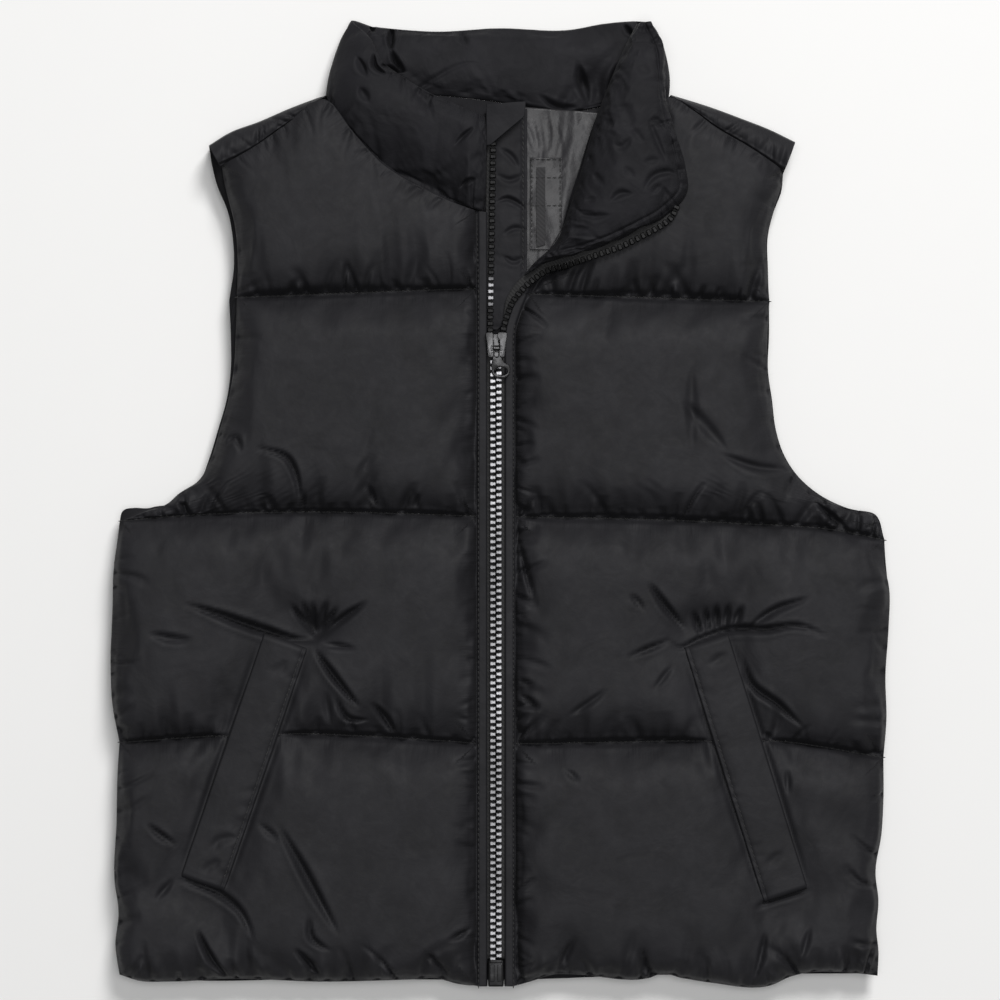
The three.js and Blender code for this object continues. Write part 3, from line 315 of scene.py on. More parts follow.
LAPEL = [
    ((13.6, 121.5), (16.8, 123.4), 28, 27, 0.5),
    ((19.5, 128), (24.8, 128), 31, 31, 1),
    ((27.1, 134.5), (43.2, 132.3), 34, 34, 2),
    ((32.5, 141), (60.5, 138.2), 36, 36, 4),
    ((35.8, 149), (76.1, 145.8), 37, 37, 5),
    ((38.5, 157), (87.5, 152.3), 38, 37, 6),
    ((41.7, 166.9), (99.4, 164.7), 38.5, 37, 6),
    ((45.5, 179.8), (98.8, 179.8), 38.5, 37, 6),
    ((50.3, 197.6), (94, 200.3), 38.5, 36.5, 6.5),
    ((55.2, 212.2), (90.2, 214.4), 38, 36, 6.5),
    ((61.1, 227.3), (89.1, 228.4), 37, 35, 5),
    ((68.1, 243.5), (87.5, 243.5), 34, 33, 3.5),
    ((74.6, 256.5), (81.5, 257.5), 29, 28, 1),
]

RIGHT_ROW = table((-3.85, -246.4), (-3.85, 76), (-4.95, 84), (-4.95, 110), (-3.6, 191), (-3.4, 206))
LEFT_ROW = table((-0.55, -246.4), (-0.55, 76), (0.45, 84), (1.7, 92), (3.8, 99.4), (7, 107.5), (12.4, 114),
                 (16.2, 117.7), (25.4, 123.7), (36.2, 126.4), (50.2, 131.2), (64.8, 136.1), (75.6, 141.5),
                 (86.4, 147.4), (91.8, 151.7), (94.5, 157.1))

# How wide the hollow is where the front of the collar turns under, at shares of the way round

COLLAR_TUCK = ((0.08, 0.105, 0.14, 0.2, 0.265), (0, 5.5, 9, 7, 0))

# Creases of the collar and of the turned back front edge, as seen from above

COLLAR_CREASES = [
    (((-58.3, 258.3), (-59, 250), (-58.9, 243.5)), 6.0, 2.0),
    (((-58.9, 243.5), (-56, 237), (-51.3, 232)), 4.4, 1.8),
    (((-64.3, 233.8), (-58.3, 233), (-51.3, 232)), 5.0, 1.8),
    (((-68, 239.8), (-67.2, 233.3), (-61.6, 229)), 3.0, 1.7),
    (((-69.8, 259), (-68.1, 253.8)), 2.6, 1.8),
    (((-77, 238.4), (-71.8, 228)), 2.0, 2.6),
    (((-24.3, 190.8), (-19.7, 195.5), (-14, 200.4)), 2.0, 1.4),
    (((-21.6, 167.7), (-18.4, 171), (-12.6, 173)), 2.2, 1.4),
    (((-75.6, 221.7), (-70.5, 214)), 1.4, 3.0),
    (((-27, 219), (-19, 212.8)), 1.6, 2.0),
    (((-48, 222), (-40, 214), (-36, 204)), 1.0, 3.5),
    (((67.2, 258.3), (72.4, 251.3)), 3.2, 1.7),
    (((74.3, 260.8), (76.1, 257)), 2.2, 1.5),
    (((42.1, 236), (45.9, 221.7), (47.3, 215.5)), 4.5, 3.2),
    (((64, 237), (61.6, 226.8), (58.9, 215.5)), 4.5, 3.2),
    (((21.6, 219), (29.2, 213.8), (41, 212.8)), 2.2, 2.0),
    (((-22, 254), (-18, 246)), 1.6, 2.4),
]

LAPEL_CREASES = [
    (((79.4, 202.5), (84, 191), (88.6, 180.4)), 0.8, 2.2),
    (((88.6, 198.7), (91, 190), (93.4, 180.4)), 0.9, 2.3),
    (((79.4, 202), (83.2, 203), (88.6, 196.6)), 1.0, 2.2),
    (((76.7, 166.3), (82, 173.3), (89.6, 175.5), (96, 173.3)), 1.3, 2.4),
    (((80.7, 163.8), (85.9, 169)), 0.7, 2.2),
    (((87, 167.7), (88.6, 159.8)), 0.8, 2.3),
    (((58.9, 159.8), (64, 163.8), (70.5, 163.8)), 1.1, 2.3),
    (((42.1, 152.8), (49.7, 151.7), (58.3, 152.3)), 1.0, 2.2),
    (((35.1, 145.8), (47.3, 145.3)), 0.8, 2.2),
    (((60, 190.8), (64, 188.5), (70.2, 193.3)), 0.7, 2.4),
    (((70.2, 198.7), (76.7, 190.8)), 0.6, 2.8),
    (((76.7, 180.5), (84.6, 182)), 0.6, 2.5),
    (((49.7, 175.5), (55, 168)), 0.8, 2.5),
    (((44.8, 159.8), (51.3, 161.5)), 0.8, 2.3),
    (((83.2, 236), (86.9, 228)), 0.6, 2.8),
    (((72.9, 232), (80.7, 228)), 0.5, 3.3),
    (((62, 214), (68, 206), (70, 196)), 0.4, 3.6),
    (((56, 204), (60, 199)), 0.6, 2.4),
    (((66, 178), (72, 172)), 0.5, 2.5),
]

# Creases of the pocket welts and of the flap behind the zip

WELT_CREASES = [
    (((-158, -190), (-150, -182), (-140, -180)), 0.9, 3.0),
    (((-160, -200), (-150, -192)), 0.8, 2.6),
    (((-122, -94), (-114, -86)), 0.6, 3.0),
    (((112, -88), (122, -82)), 0.7, 3.0),
    (((142, -196), (152, -188)), 0.6, 3.0),
]

FLAP_CREASES = [
    (((-2, 161), (4, 163), (9, 161), (14, 157)), 1.5, 1.6),
    (((-2, 176), (5, 173), (13, 176)), 0.8, 2.0),
    (((0, 190), (6, 186), (10, 180)), 0.9, 1.8),
    (((2, 144), (8, 147), (14, 146)), 0.9, 1.8),
    (((2, 132), (7, 129), (13, 131)), 1.0, 1.6),
]

# Lines and distances in the plane


def arc_shares(points):
    steps = np.linalg.norm(np.diff(points, axis=0), axis=1)
    run = np.concatenate([[0.0], np.cumsum(steps)])
    return run / run[-1]


def length_of(points):
    return float(np.linalg.norm(np.diff(points, axis=0), axis=1).sum())


def along(points, shares):
    """Points at shares of the length of a line."""
    shares = np.atleast_1d(np.asarray(shares, float))
    run = arc_shares(points)
    return np.stack([np.interp(shares, run, column) for column in points.T], axis=-1)


def spline(points, shares):
    """Points at shares of the length of a smooth curve through a line's points."""
    shares = np.atleast_1d(np.asarray(shares, float))
    if len(points) < 3:
        return along(points, shares)
    return by_knots(points, arc_shares(points), shares)


def by_knots(points, knots, t):
    """A smooth curve through points that stand at given parameters."""
    i = np.clip(np.searchsorted(knots, t, side="right") - 1, 0, len(points) - 2)
    span = (knots[i + 1] - knots[i])[:, None]
    s = (t - knots[i])[:, None] / span
    slope = np.gradient(points, knots, axis=0)
    out, into = slope[i] * span, slope[i + 1] * span
    return (
        (2 * s**3 - 3 * s**2 + 1) * points[i]
        + (s**3 - 2 * s**2 + s) * out
        + (3 * s**2 - 2 * s**3) * points[i + 1]
        + (s**3 - s**2) * into
    )


def line_distance(places, line):
    """Distance of each place from a line, and how far along the line its nearest point is."""
    best = np.full(places.shape[:-1], np.inf)
    reached = np.zeros_like(best)
    run = 0.0
    for a, b in zip(line[:-1], line[1:]):
        step = b - a
        size = np.linalg.norm(step)
        if size < 1e-9:
            continue
        t = np.clip(((places - a) @ step) / size**2, 0, 1)
        away = np.linalg.norm(places - a - t[..., None] * step, axis=-1)
        nearer = away < best
        best = np.where(nearer, away, best)
        reached = np.where(nearer, run + t * size, reached)
        run += size
    return best, reached


def swell(distance, reach, rise=PUFF_ROUND):
    """How full the padding is at a distance from a seam, from 0 to 1."""
    share = np.clip(distance / reach, 0, 1)
    return (1 - (1 - share) ** PUFF_POWER) ** rise


def smooth(value, low, high):
    t = np.clip((value - low) / (high - low), 0, 1)
    return t * t * (3 - 2 * t)


def eased(count, ease):
    """Shares from 0 to 1 that lie closer together at both ends."""
    t = np.linspace(0, 1, count + 1)
    return (1 - ease) * t + ease * (1 - np.cos(math.pi * t)) / 2


# Panels

EASE = 0.62
FAR_EASE = 0.35
FINE = 2  # millimetres between the points of a seam line


def channel_edge(panel, k, side):
    end = 0 if side == "west" else -1
    parts = [panel["lines"][k][end][None], panel["lines"][k + 1][end][None]]
    if panel[side][k] is not None:
        parts.insert(1, panel[side][k])
    return np.concatenate(parts)


def fine_line(points):
    return spline(points, np.linspace(0, 1, max(2, int(length_of(points) / FINE)) + 1))


def column_shares(panel, width, count):
    """Where a row's points lie, as shares of its width: at set distances beside the zip."""
    if panel["zip"] is None:
        return eased(count, EASE)
    near = np.array(ZIP_OFFSETS) / width
    t = np.linspace(0, 1, count - len(near) + 2)[1:]
    far = (1 - FAR_EASE) * t + FAR_EASE * np.sin(math.pi * t / 2)
    shares = np.concatenate([near, near[-1] + (1 - near[-1]) * far])
    return shares if panel["zip"] == "west" else (1 - shares)[::-1]


def panel_grid(panel, columns, row_step):
    """Rows of places over a panel, the channel of each row, and the rows that are stitch lines."""
    rows, channels, stitched = [], [], [0]
    for k in range(len(panel["lines"]) - 1):
        below, above = panel["lines"][k], panel["lines"][k + 1]
        west, east = channel_edge(panel, k, "west"), channel_edge(panel, k, "east")
        height = (length_of(west) + length_of(east)) / 2
        shares = eased(max(10, round(height / row_step)), EASE)
        for v in shares if k == 0 else shares[1:]:
            start, end = spline(west, v)[0], spline(east, v)[0]
            us = column_shares(panel, np.linalg.norm(end - start), columns)
            u = us[:, None]
            ruled = (1 - v) * spline(below, us) + v * spline(above, us)
            sides = (1 - u) * start + u * end
            low = (1 - u) * below[0] + u * below[-1]
            high = (1 - u) * above[0] + u * above[-1]
            rows.append(ruled + sides - (1 - v) * low - v * high)
            channels.append(k)
        stitched.append(len(rows) - 1)
    return np.array(rows), np.array(channels), stitched


class Random:
    """A generator whose numbers depend only on a name."""

    def __init__(self, name):
        self.made = np.random.default_rng(sum(ord(letter) * (i + 7) for i, letter in enumerate(name)))

    def between(self, low, high, size=None):
        return self.made.uniform(low, high, size)


def groove(offset, width):
    """A fold's section: a sharp groove between two low shoulders."""
    t = np.abs(offset) / width
    return np.cos(math.pi * np.clip(t, 0, 1) / 2) ** 2 - 0.1 * np.exp(-(((t - 1.4) / 0.4) ** 2))


def pucker_relief(distance, reached, length, strength, reach, spacing, random):
    """Short grooves that run out from a seam: depth at each distance from it and place along it."""
    relief = np.zeros_like(distance)
    at = random.between(0, spacing)
    while at < length:
        depth = strength * random.between(0.4, 1.5)
        width = random.between(1.0, 3.4)
        run = reach * random.between(0.35, 1.7)
        slant = random.between(-0.55, 0.55)
        bend = random.between(-0.02, 0.02)
        offset = reached - at - slant * distance - bend * distance**2
        fade = np.clip(1 - distance / run, 0, 1) ** 0.8 * np.clip(distance / 1.2, 0.3, 1)
        relief += depth * fade * groove(offset, width * (1 + 0.05 * distance))
        at += spacing * random.between(0.45, 1.6)
    return relief


def wander(reached, length, spacing, amount, random):
    """A factor about 1 that changes at random along a seam."""
    knots = np.arange(-spacing, length + 2 * spacing, spacing)
    values = random.between(-amount, amount, len(knots))
    t = (np.clip(reached, knots[0], knots[-1] - 1e-6) - knots[0]) / spacing
    i = t.astype(int)
    f = t - i
    f = f * f * (3 - 2 * f)
    return 1 + values[i] * (1 - f) + values[i + 1] * f


def channel_seams(panel, k):
    sides = {"west": "outer", "east": "outer"}
    if panel["zip"]:
        sides[panel["zip"]] = "zip"
    seams = [("below", panel["lines"][k]), ("above", panel["lines"][k + 1])]
    seams += [(sides[side], channel_edge(panel, k, side)) for side in ("west", "east")]
    return [(kind, fine_line(line)) for kind, line in seams]


def welt_cover(places, name):
    """1 under a pocket welt of a panel, falling to 0 beside it."""
    cover = np.zeros(places.shape[:-1])
    for welt in WELTS.values():
        if welt["panel"] == name:
            away, _ = line_distance(places, table(welt["from"], welt["to"]))
            cover = np.maximum(cover, np.clip(1 - (away - WELT["width"] / 2) / WELT["fade"], 0, 1))
    return cover


def welt_edges(name):
    """The creases along both long edges of a panel's welt."""
    edges = []
    for welt in WELTS.values():
        if welt["panel"] == name:
            start, end = np.array(welt["from"]), np.array(welt["to"])
            run = (end - start) / np.linalg.norm(end - start)
            side = np.array([run[1], -run[0]]) * (WELT["width"] / 2 + 0.6)
            edges += [((start + way * side, end + way * side), 1.1, 2.2) for way in (-1, 1)]
    return edges


CREASE_DEPTH = 1.9


def crease_relief(places, creases):
    """Depth of the listed creases at places in the plane."""
    relief = np.zeros(places.shape[:-1])
    for points, depth, width in creases:
        line = table(*points)
        low, high = line.min(axis=0) - 4 * width, line.max(axis=0) + 4 * width
        near = ((places > low) & (places < high)).all(axis=-1)
        if not near.any():
            continue
        line = spline(line, np.linspace(0, 1, 4 * len(line)))
        away, reached = line_distance(places[near], line)
        taper = np.sin(math.pi * np.clip(reached / length_of(line), 0.02, 0.98)) ** 0.9
        relief[near] += CREASE_DEPTH * depth * taper * groove(away, 1.2 * width * (0.4 + 0.6 * taper))
    return relief


def gather_relief(places):
    relief = np.zeros(places.shape[:-1])
    for centre, depth, radii in GATHERS:
        offset = (places - np.array(centre)) / np.array(radii)
        relief += depth * np.exp(-(offset**2).sum(-1))
    return relief


def panel_fullness(name, panel, places, channels):
    """How full the padding is at each place of a panel, and how far a welt covers it."""
    fullness = np.zeros(places.shape[:2])
    cover = welt_cover(places, name)
    last = len(panel["lines"]) - 2
    for k in range(last + 1):
        chosen = channels == k
        spots = places[chosen]
        share = np.ones(spots.shape[:2])
        stitch = np.ones_like(share)
        for number, (kind, line) in enumerate(channel_seams(panel, k)):
            distance, reached = line_distance(spots, line)
            random = Random(f"{name} swell {k} {number}")
            amount, spacing = {"below": (0.6, 7), "above": (0.12, 12)}.get(kind, (0.3, 18))
            distance = distance * wander(reached, length_of(line), spacing, amount, random)
            if kind == "zip":
                share = share * swell(np.maximum(distance - PLACKET_EDGE, 0), ZIP_REACH, 0.5)
            elif kind == "above" and k == last and panel["zip"]:
                share = share * (NECK_SHARE + (1 - NECK_SHARE) * swell(distance, EDGE_REACH, 0.8))
            elif kind == "outer" or (kind == "below" and k == 0) or (kind == "above" and k == last):
                share = share * swell(distance, EDGE_REACH, 0.55)
            else:
                reach = BACK_STITCH_REACH if panel["zip"] is None else STITCH_REACH
                stitch = stitch * swell(distance, reach, 0.42 if kind == "below" else 0.6)
        pressed = (1 - cover[chosen]) * stitch + cover[chosen] * WELT["level"]
        fullness[chosen] = share * pressed
    return fullness, cover


def panel_relief(name, panel, places, channels, strength):
    """Depth of the puckers and creases at places of a panel, the seam coordinates, and the distance
    from the zip's edge."""
    relief = crease_relief(places, CREASES.get(name, []) + welt_edges(name))
    seam_uv = np.zeros(places.shape[:2] + (2,))
    beside = np.full(places.shape[:2], 100.0)
    cover = welt_cover(places, name)
    for k in range(len(panel["lines"]) - 1):
        chosen = channels == k
        spots = places[chosen]
        nearest = np.full(spots.shape[:2], np.inf)
        for number, (kind, line) in enumerate(channel_seams(panel, k)):
            distance, reached = line_distance(spots, line)
            if kind == "zip":
                beside[chosen] = distance
                distance = np.maximum(distance - PLACKET_EDGE, 0)
            depth, reach, spacing = PUCKERS[name][k][kind]
            random = Random(f"{name} {k} {kind} {number}")
            length = length_of(line)
            grooves = pucker_relief(distance, reached, length, depth * strength, reach, spacing, random)
            relief[chosen] += grooves * (1 - cover[chosen])
            closer = distance < nearest
            nearest = np.where(closer, distance, nearest)
            flat = (beside[chosen] < PLACKET_EDGE) if kind == "zip" else False
            here = np.stack([reached + SEAM_SHIFT * number, np.where(flat, FAR_FROM_SEAM, distance)], -1)
            seam_uv[chosen] = np.where(closer[..., None], here, seam_uv[chosen])
    return relief, seam_uv, beside


# Cloth


def grid_faces(rows, columns, wrap=False):
    faces = []
    for r in range(rows - 1):
        for c in range(columns if wrap else columns - 1):
            d = (c + 1) % columns
            faces.append((r * columns + c, r * columns + d, (r + 1) * columns + d, (r + 1) * columns + c))
    return faces


def inflate(points, wrap, pinned, pressure, growth, cap, frames=20):
    """The points of a grid of cloth after padding has pushed it out, none of them further than the cap."""
    rows, columns = points.shape[:2]
    start = points.reshape(-1, 3) * MM
    mesh = bpy.data.meshes.new("cloth")
    mesh.from_pydata(start.tolist(), [], grid_faces(rows, columns, wrap))
    cloth = bpy.data.objects.new("cloth", mesh)
    scene = bpy.context.scene
    scene.collection.objects.link(cloth)
    group = cloth.vertex_groups.new(name="pinned")
    group.add(np.flatnonzero(pinned.ravel()).tolist(), 1.0, "REPLACE")
    modifier = cloth.modifiers.new("Cloth", "CLOTH")
    settings = modifier.settings
    settings.quality = 5
    settings.mass = 0.3
    settings.tension_stiffness = 15
    settings.compression_stiffness = 12
    settings.shear_stiffness = 5
    settings.bending_stiffness = 0.25
    settings.vertex_group_mass = "pinned"
    settings.use_pressure = True
    settings.uniform_pressure_force = pressure
    settings.shrink_min = -growth
    settings.effector_weights.gravity = 0
    modifier.collision_settings.use_collision = False
    modifier.point_cache.frame_start = 1
    modifier.point_cache.frame_end = frames
    for number in range(1, frames + 1):
        scene.frame_set(number)
    filled = np.empty(start.size)
    evaluated = cloth.evaluated_get(bpy.context.evaluated_depsgraph_get())
    evaluated.data.vertices.foreach_get("co", filled)
    bpy.data.objects.remove(cloth)
    scene.frame_set(1)
    moved = filled.reshape(-1, 3) / MM - start / MM
    size = np.linalg.norm(moved, axis=1, keepdims=True)
    moved *= cap * np.tanh(size / cap) / np.maximum(size, 1e-9)
    moved = moved.reshape(points.shape)
    if not wrap:
        moved[1:-1] = (moved[:-2] + 2 * moved[1:-1] + moved[2:]) / 4
    return points + moved * ~pinned[..., None]


def doubled(values, axis, wrap=False):
    """A grid with a point on a smooth curve put between each two of its points along one axis."""
    values = np.moveaxis(values, axis, 0)
    before = np.roll(values, 1, axis=0)
    after = np.roll(values, -1, axis=0)
    beyond = np.roll(values, -2, axis=0)
    middle = (9 * (values + after) - before - beyond) / 16
    if not wrap:
        middle[0] = (values[0] + values[1]) / 2
        middle[-2] = (values[-2] + values[-1]) / 2
        middle = middle[:-1]
    size = len(values) + len(middle)
    finer = np.empty((size,) + values.shape[1:])
    finer[0::2] = values
    finer[1::2] = middle
    return np.moveaxis(finer, 0, axis)


# Meshes


def new_object(name, vertices, faces):
    mesh = bpy.data.meshes.new(name)
    mesh.from_pydata((np.asarray(vertices) * MM).tolist(), [], [tuple(face) for face in faces])
    mesh.validate()
    made = bpy.data.objects.new(name, mesh)
    bpy.context.scene.collection.objects.link(made)
    return made


def shade(made, material, smooth_faces=True):
    made.data.polygons.foreach_set("use_smooth", [smooth_faces] * len(made.data.polygons))
    made.data.materials.clear()
    made.data.materials.append(material)
    return made


def face_out(made, merge=0.0):
    built = bmesh.new()
    built.from_mesh(made.data)
    if merge:
        bmesh.ops.remove_doubles(built, verts=built.verts, dist=merge * MM)
    bmesh.ops.recalc_face_normals(built, faces=built.faces)
    built.to_mesh(made.data)
    built.free()
    return made


def add_map(made, name, coordinates):
    """A UV map from one pair of numbers for each vertex."""
    layer = made.data.uv_layers.new(name=name)
    corners = np.empty(len(made.data.loops), dtype=np.int64)
    made.data.loops.foreach_get("vertex_index", corners)
    layer.data.foreach_set("uv", np.asarray(coordinates, float)[corners].ravel())


def rim_of(rows, columns):
    rim = [(0, c) for c in range(columns - 1)]
    rim += [(r, columns - 1) for r in range(rows - 1)]
    rim += [(rows - 1, c) for c in range(columns - 1, 0, -1)]
    rim += [(r, 0) for r in range(rows - 1, 0, -1)]
    return np.array(rim)


def shell_parts(face, base):
    """Vertices and faces of a closed pad: a grid as its outer face, a wall down its rim, a flat base."""
    rows, columns = face.shape[:2]
    rim = rim_of(rows, columns)
    foot = face[rim[:, 0], rim[:, 1]]
    foot[:, 2] = base
    top = face.reshape(-1, 3)
    vertices = np.concatenate([top, foot])
    faces = grid_faces(rows, columns)
    index = rim[:, 0] * columns + rim[:, 1]
    count = len(rim)
    for i in range(count):
        j = (i + 1) % count
        faces.append((index[j], index[i], len(top) + i, len(top) + j))
    faces.append(tuple(len(top) + i for i in range(count - 1, -1, -1)))
    return vertices, faces


def joined(parts):
    """One list of vertices and one of faces from several."""
    vertices, faces, shift = [], [], 0
    for part_vertices, part_faces in parts:
        vertices.append(part_vertices)
        faces += [tuple(i + shift for i in face) for face in part_faces]
        shift += len(part_vertices)
    return np.concatenate(vertices), faces


def tube_parts(sections):
    """Vertices and faces of a body through closed sections, closed at both ends."""
    rows, columns = sections.shape[:2]
    faces = grid_faces(rows, columns, wrap=True)
    faces.append(tuple(range(columns - 1, -1, -1)))
    faces.append(tuple((rows - 1) * columns + i for i in range(columns)))
    return sections.reshape(-1, 3), faces


def strip_parts(face, thickness):
    """Vertices and faces of a sheet of one thickness under a grid."""
    rows, columns = face.shape[:2]
    top = face.reshape(-1, 3)
    bottom = top - np.array([0, 0, thickness])
    faces = grid_faces(rows, columns)
    faces += [tuple(len(top) + i for i in reversed(f)) for f in grid_faces(rows, columns)]
    rim = rim_of(rows, columns)
    index = rim[:, 0] * columns + rim[:, 1]
    for i, a in enumerate(index):
        b = index[(i + 1) % len(index)]
        faces.append((b, a, len(top) + a, len(top) + b))
    return np.concatenate([top, bottom]), faces


# Shaders


class Value:
    """A number inside a material. Python's operators add the Math nodes."""

    def __init__(self, shader, socket):
        self.shader = shader
        self.socket = socket

    def __add__(self, other):
        return self.shader.math("ADD", self, other)

    def __radd__(self, other):
        return self.shader.math("ADD", other, self)

    def __sub__(self, other):
        return self.shader.math("SUBTRACT", self, other)

    def __rsub__(self, other):
        return self.shader.math("SUBTRACT", other, self)

    def __mul__(self, other):
        return self.shader.math("MULTIPLY", self, other)

    def __rmul__(self, other):
        return self.shader.math("MULTIPLY", other, self)

    def __pow__(self, other):
        return self.shader.math("POWER", self, other)


class Shader:
    """A material with one Principled surface."""

    def __init__(self, name):
        self.material = bpy.data.materials.new(name)
        self.material.use_nodes = True
        self.tree = self.material.node_tree
        self.surface = self.tree.nodes["Principled BSDF"]

    def plug(self, socket, value):
        if isinstance(value, Value):
            value = value.socket
        if isinstance(value, bpy.types.NodeSocket):
            self.tree.links.new(value, socket)
        else:
            socket.default_value = value

    def node(self, kind, settings=None, sockets=None):
        node = self.tree.nodes.new("ShaderNode" + kind)
        for name, value in (settings or {}).items():
            setattr(node, name, value)
        for name, value in (sockets or {}).items():
            self.plug(node.inputs[name], value)
        return node

    def math(self, operation, *values):
        sockets = dict(enumerate(values))
        return Value(self, self.node("Math", {"operation": operation}, sockets).outputs[0])

    def place(self, scale=(1, 1, 1)):
        """The place on the piece, stretched."""
        source = self.node("TexCoord").outputs["Object"]
        return self.node("Mapping", {}, {"Vector": source, "Scale": scale}).outputs[0]

    def map_place(self, name, scale=(1, 1, 1)):
        source = self.node("UVMap", {"uv_map": name}).outputs[0]
        return self.node("Mapping", {}, {"Vector": source, "Scale": scale}).outputs[0]

    def noise(self, vector, scale, detail=2.0, roughness=0.5, distortion=0.0):
        sockets = {"Vector": vector, "Scale": scale, "Detail": detail, "Roughness": roughness,
                   "Distortion": distortion}
        return Value(self, self.node("TexNoise", {}, sockets).outputs[0])

    def ramp(self, value, low, high, to_low=0.0, to_high=1.0):
        sockets = {"Value": value, "From Min": low, "From Max": high, "To Min": to_low, "To Max": to_high}
        return Value(self, self.node("MapRange", {"clamp": True}, sockets).outputs[0])

    def mix(self, factor, first, second):
        return self.node("Mix", {"data_type": "RGBA"}, {0: factor, 6: first, 7: second}).outputs[2]

    def finish(self, colour, roughness, height=None, metallic=0.0, **constants):
        """Fill the surface in. A height is in millimetres."""
        self.plug(self.surface.inputs["Base Color"], colour)
        self.plug(self.surface.inputs["Roughness"], roughness)
        self.plug(self.surface.inputs["Metallic"], metallic)
        if height is not None:
            bump = self.node("Bump", {}, {"Strength": 1.0, "Distance": MM, "Height": height})
            self.plug(self.surface.inputs["Normal"], bump.outputs[0])
        for name, value in constants.items():
            self.surface.inputs[name.replace("_", " ")].default_value = value
        return self.material


def shades(colour, *factors):
    """A colour made lighter or darker by each factor, ready for a colour socket."""
    return [tuple(part * factor for part in colour) + (1.0,) for factor in factors]


def shell_material(name, colour, crinkle, gloss):
    """Matt nylon: fine weave, soft crinkles, and fine puckers that run out from the seams."""
    shader = Shader(name)
    place = shader.place()
    seams = shader.map_place("seams", (1, 0.16, 1))
    weave = shader.noise(shader.place((1, 1.6, 1)), 1500, detail=1)
    soft = shader.noise(place, 42, detail=3, roughness=0.55, distortion=0.6)
    fine = shader.noise(place, 170, detail=3, roughness=0.6, distortion=0.4)
    ripple = shader.noise(seams, 0.34, detail=2, roughness=0.55)
    seam_map = shader.node("UVMap", {"uv_map": "seams"}).outputs[0]
    away = shader.node("SeparateXYZ", {}, {0: seam_map}).outputs[1]
    near = shader.ramp(away, 0.0, 12.0, 1.0, 0.0)
    height = weave * 0.035 + (soft - 0.5) * (3.2 * crinkle) + (fine - 0.5) * (0.8 * crinkle)
    height = height + (ripple - 0.5) * near * 0.8
    dark, light = shades(colour, 0.8, 1.18)
    tone = shader.mix(shader.ramp(soft, 0.3, 0.7), dark, light)
    rough = shader.ramp(fine, 0.3, 0.7, 0.58, 0.68)
    return shader.finish(tone, rough, height, Sheen_Weight=0.012, Sheen_Roughness=0.4,
                         Specular_IOR_Level=gloss)


def lining_material(name, colour):
    """Smooth woven lining with a little more gloss and soft folds."""
    shader = Shader(name)
    weave = shader.noise(shader.place((1, 2.2, 1)), 1300, detail=1)
    folds = shader.noise(shader.place((1, 0.55, 1)), 48, detail=2, roughness=0.5, distortion=0.8)
    fine = shader.noise(shader.place(), 220, detail=3)
    height = weave * 0.03 + (folds - 0.5) * 3.0 + (fine - 0.5) * 0.3
    dark, light = shades(colour, 0.82, 1.18)
    tone = shader.mix(shader.ramp(folds, 0.35, 0.65), dark, light)
    return shader.finish(tone, shader.ramp(fine, 0.3, 0.7, 0.36, 0.44), height, Sheen_Weight=0.1,
                         Specular_IOR_Level=0.32)


def tape_material(name, colour):
    """Woven zip tape: a twill of fine ribs."""
    shader = Shader(name)
    ribs = shader.node("TexWave", {"bands_direction": "DIAGONAL"}, {
        "Vector": shader.place(), "Scale": 260, "Distortion": 0.6, "Detail": 1}).outputs[1]
    ribs = Value(shader, ribs)
    lint = shader.noise(shader.place(), 420, detail=3)
    dark, light = shades(colour, 0.75, 1.25)
    tone = shader.mix(shader.ramp(lint, 0.35, 0.65), dark, light)
    return shader.finish(tone, shader.ramp(lint, 0.3, 0.7, 0.72, 0.86), ribs * 0.12 + lint * 0.08,
                         Sheen_Weight=0.2)


def metal_material(name, colour, roughness, wear=0.5):
    """Cast metal with a plated finish: faint pits and worn patches."""
    shader = Shader(name)
    patches = shader.noise(shader.place(), 90, detail=3, roughness=0.6)
    pits = shader.noise(shader.place(), 900, detail=2)
    dark, light = shades(colour, 1 - 0.5 * wear, 1 + 0.5 * wear)
    tone = shader.mix(shader.ramp(patches, 0.38, 0.62), dark, light)
    rough = shader.ramp(patches, 0.35, 0.65, roughness + 0.1, roughness - 0.06)
    return shader.finish(tone, rough, pits * 0.03, metallic=0.92)


def tooth_material(name, colour):
    """Moulded gunmetal teeth with painted light: a painted highlight where the zip is closed, painted shade
    where it is open.
    """
    shader = Shader(name)
    patches = shader.noise(shader.place((1, 0.4, 1)), 26, detail=2, roughness=0.5)
    grain = shader.noise(shader.place(), 700, detail=2)
    axes = shader.node("SeparateXYZ", {}, {0: shader.place()}).outputs
    across, height = Value(shader, axes[0]), Value(shader, axes[1])
    # Painted highlight in noisy patches on the closed chain below the slider
    closed = shader.ramp(height, 0.079, 0.074)
    # Painted glint on the right row of teeth a little above the slider
    from_painted_glint = shader.math("ABSOLUTE", height - 0.1125)
    painted_glint = shader.ramp(from_painted_glint, 0.009, 0.003) * shader.ramp(across, -0.001, -0.003)
    painted_highlight = shader.math("MAXIMUM", closed * shader.ramp(patches, 0.3, 0.62, 0.25, 1.0), painted_glint * 0.6)
    # Painted shade at 0.06 of the colour on the other teeth, painted highlight at 3.3 times it
    dark, light = shades(colour, 0.06, 3.3)
    tone = shader.mix(painted_highlight, dark, light)
    return shader.finish(tone, shader.ramp(grain, 0.3, 0.7, 0.38, 0.5), grain * 0.04, metallic=0.8,
                         Specular_IOR_Level=0.5)


def thread_material(name, colour):
    shader = Shader(name)
    twist = shader.noise(shader.place((1, 1, 1)), 1600, detail=2)
    dark, light = shades(colour, 0.7, 1.3)
    tone = shader.mix(shader.ramp(twist, 0.35, 0.65), dark, light)
    return shader.finish(tone, shader.ramp(twist, 0.3, 0.7, 0.6, 0.75), twist * 0.1, Sheen_Weight=0.15)


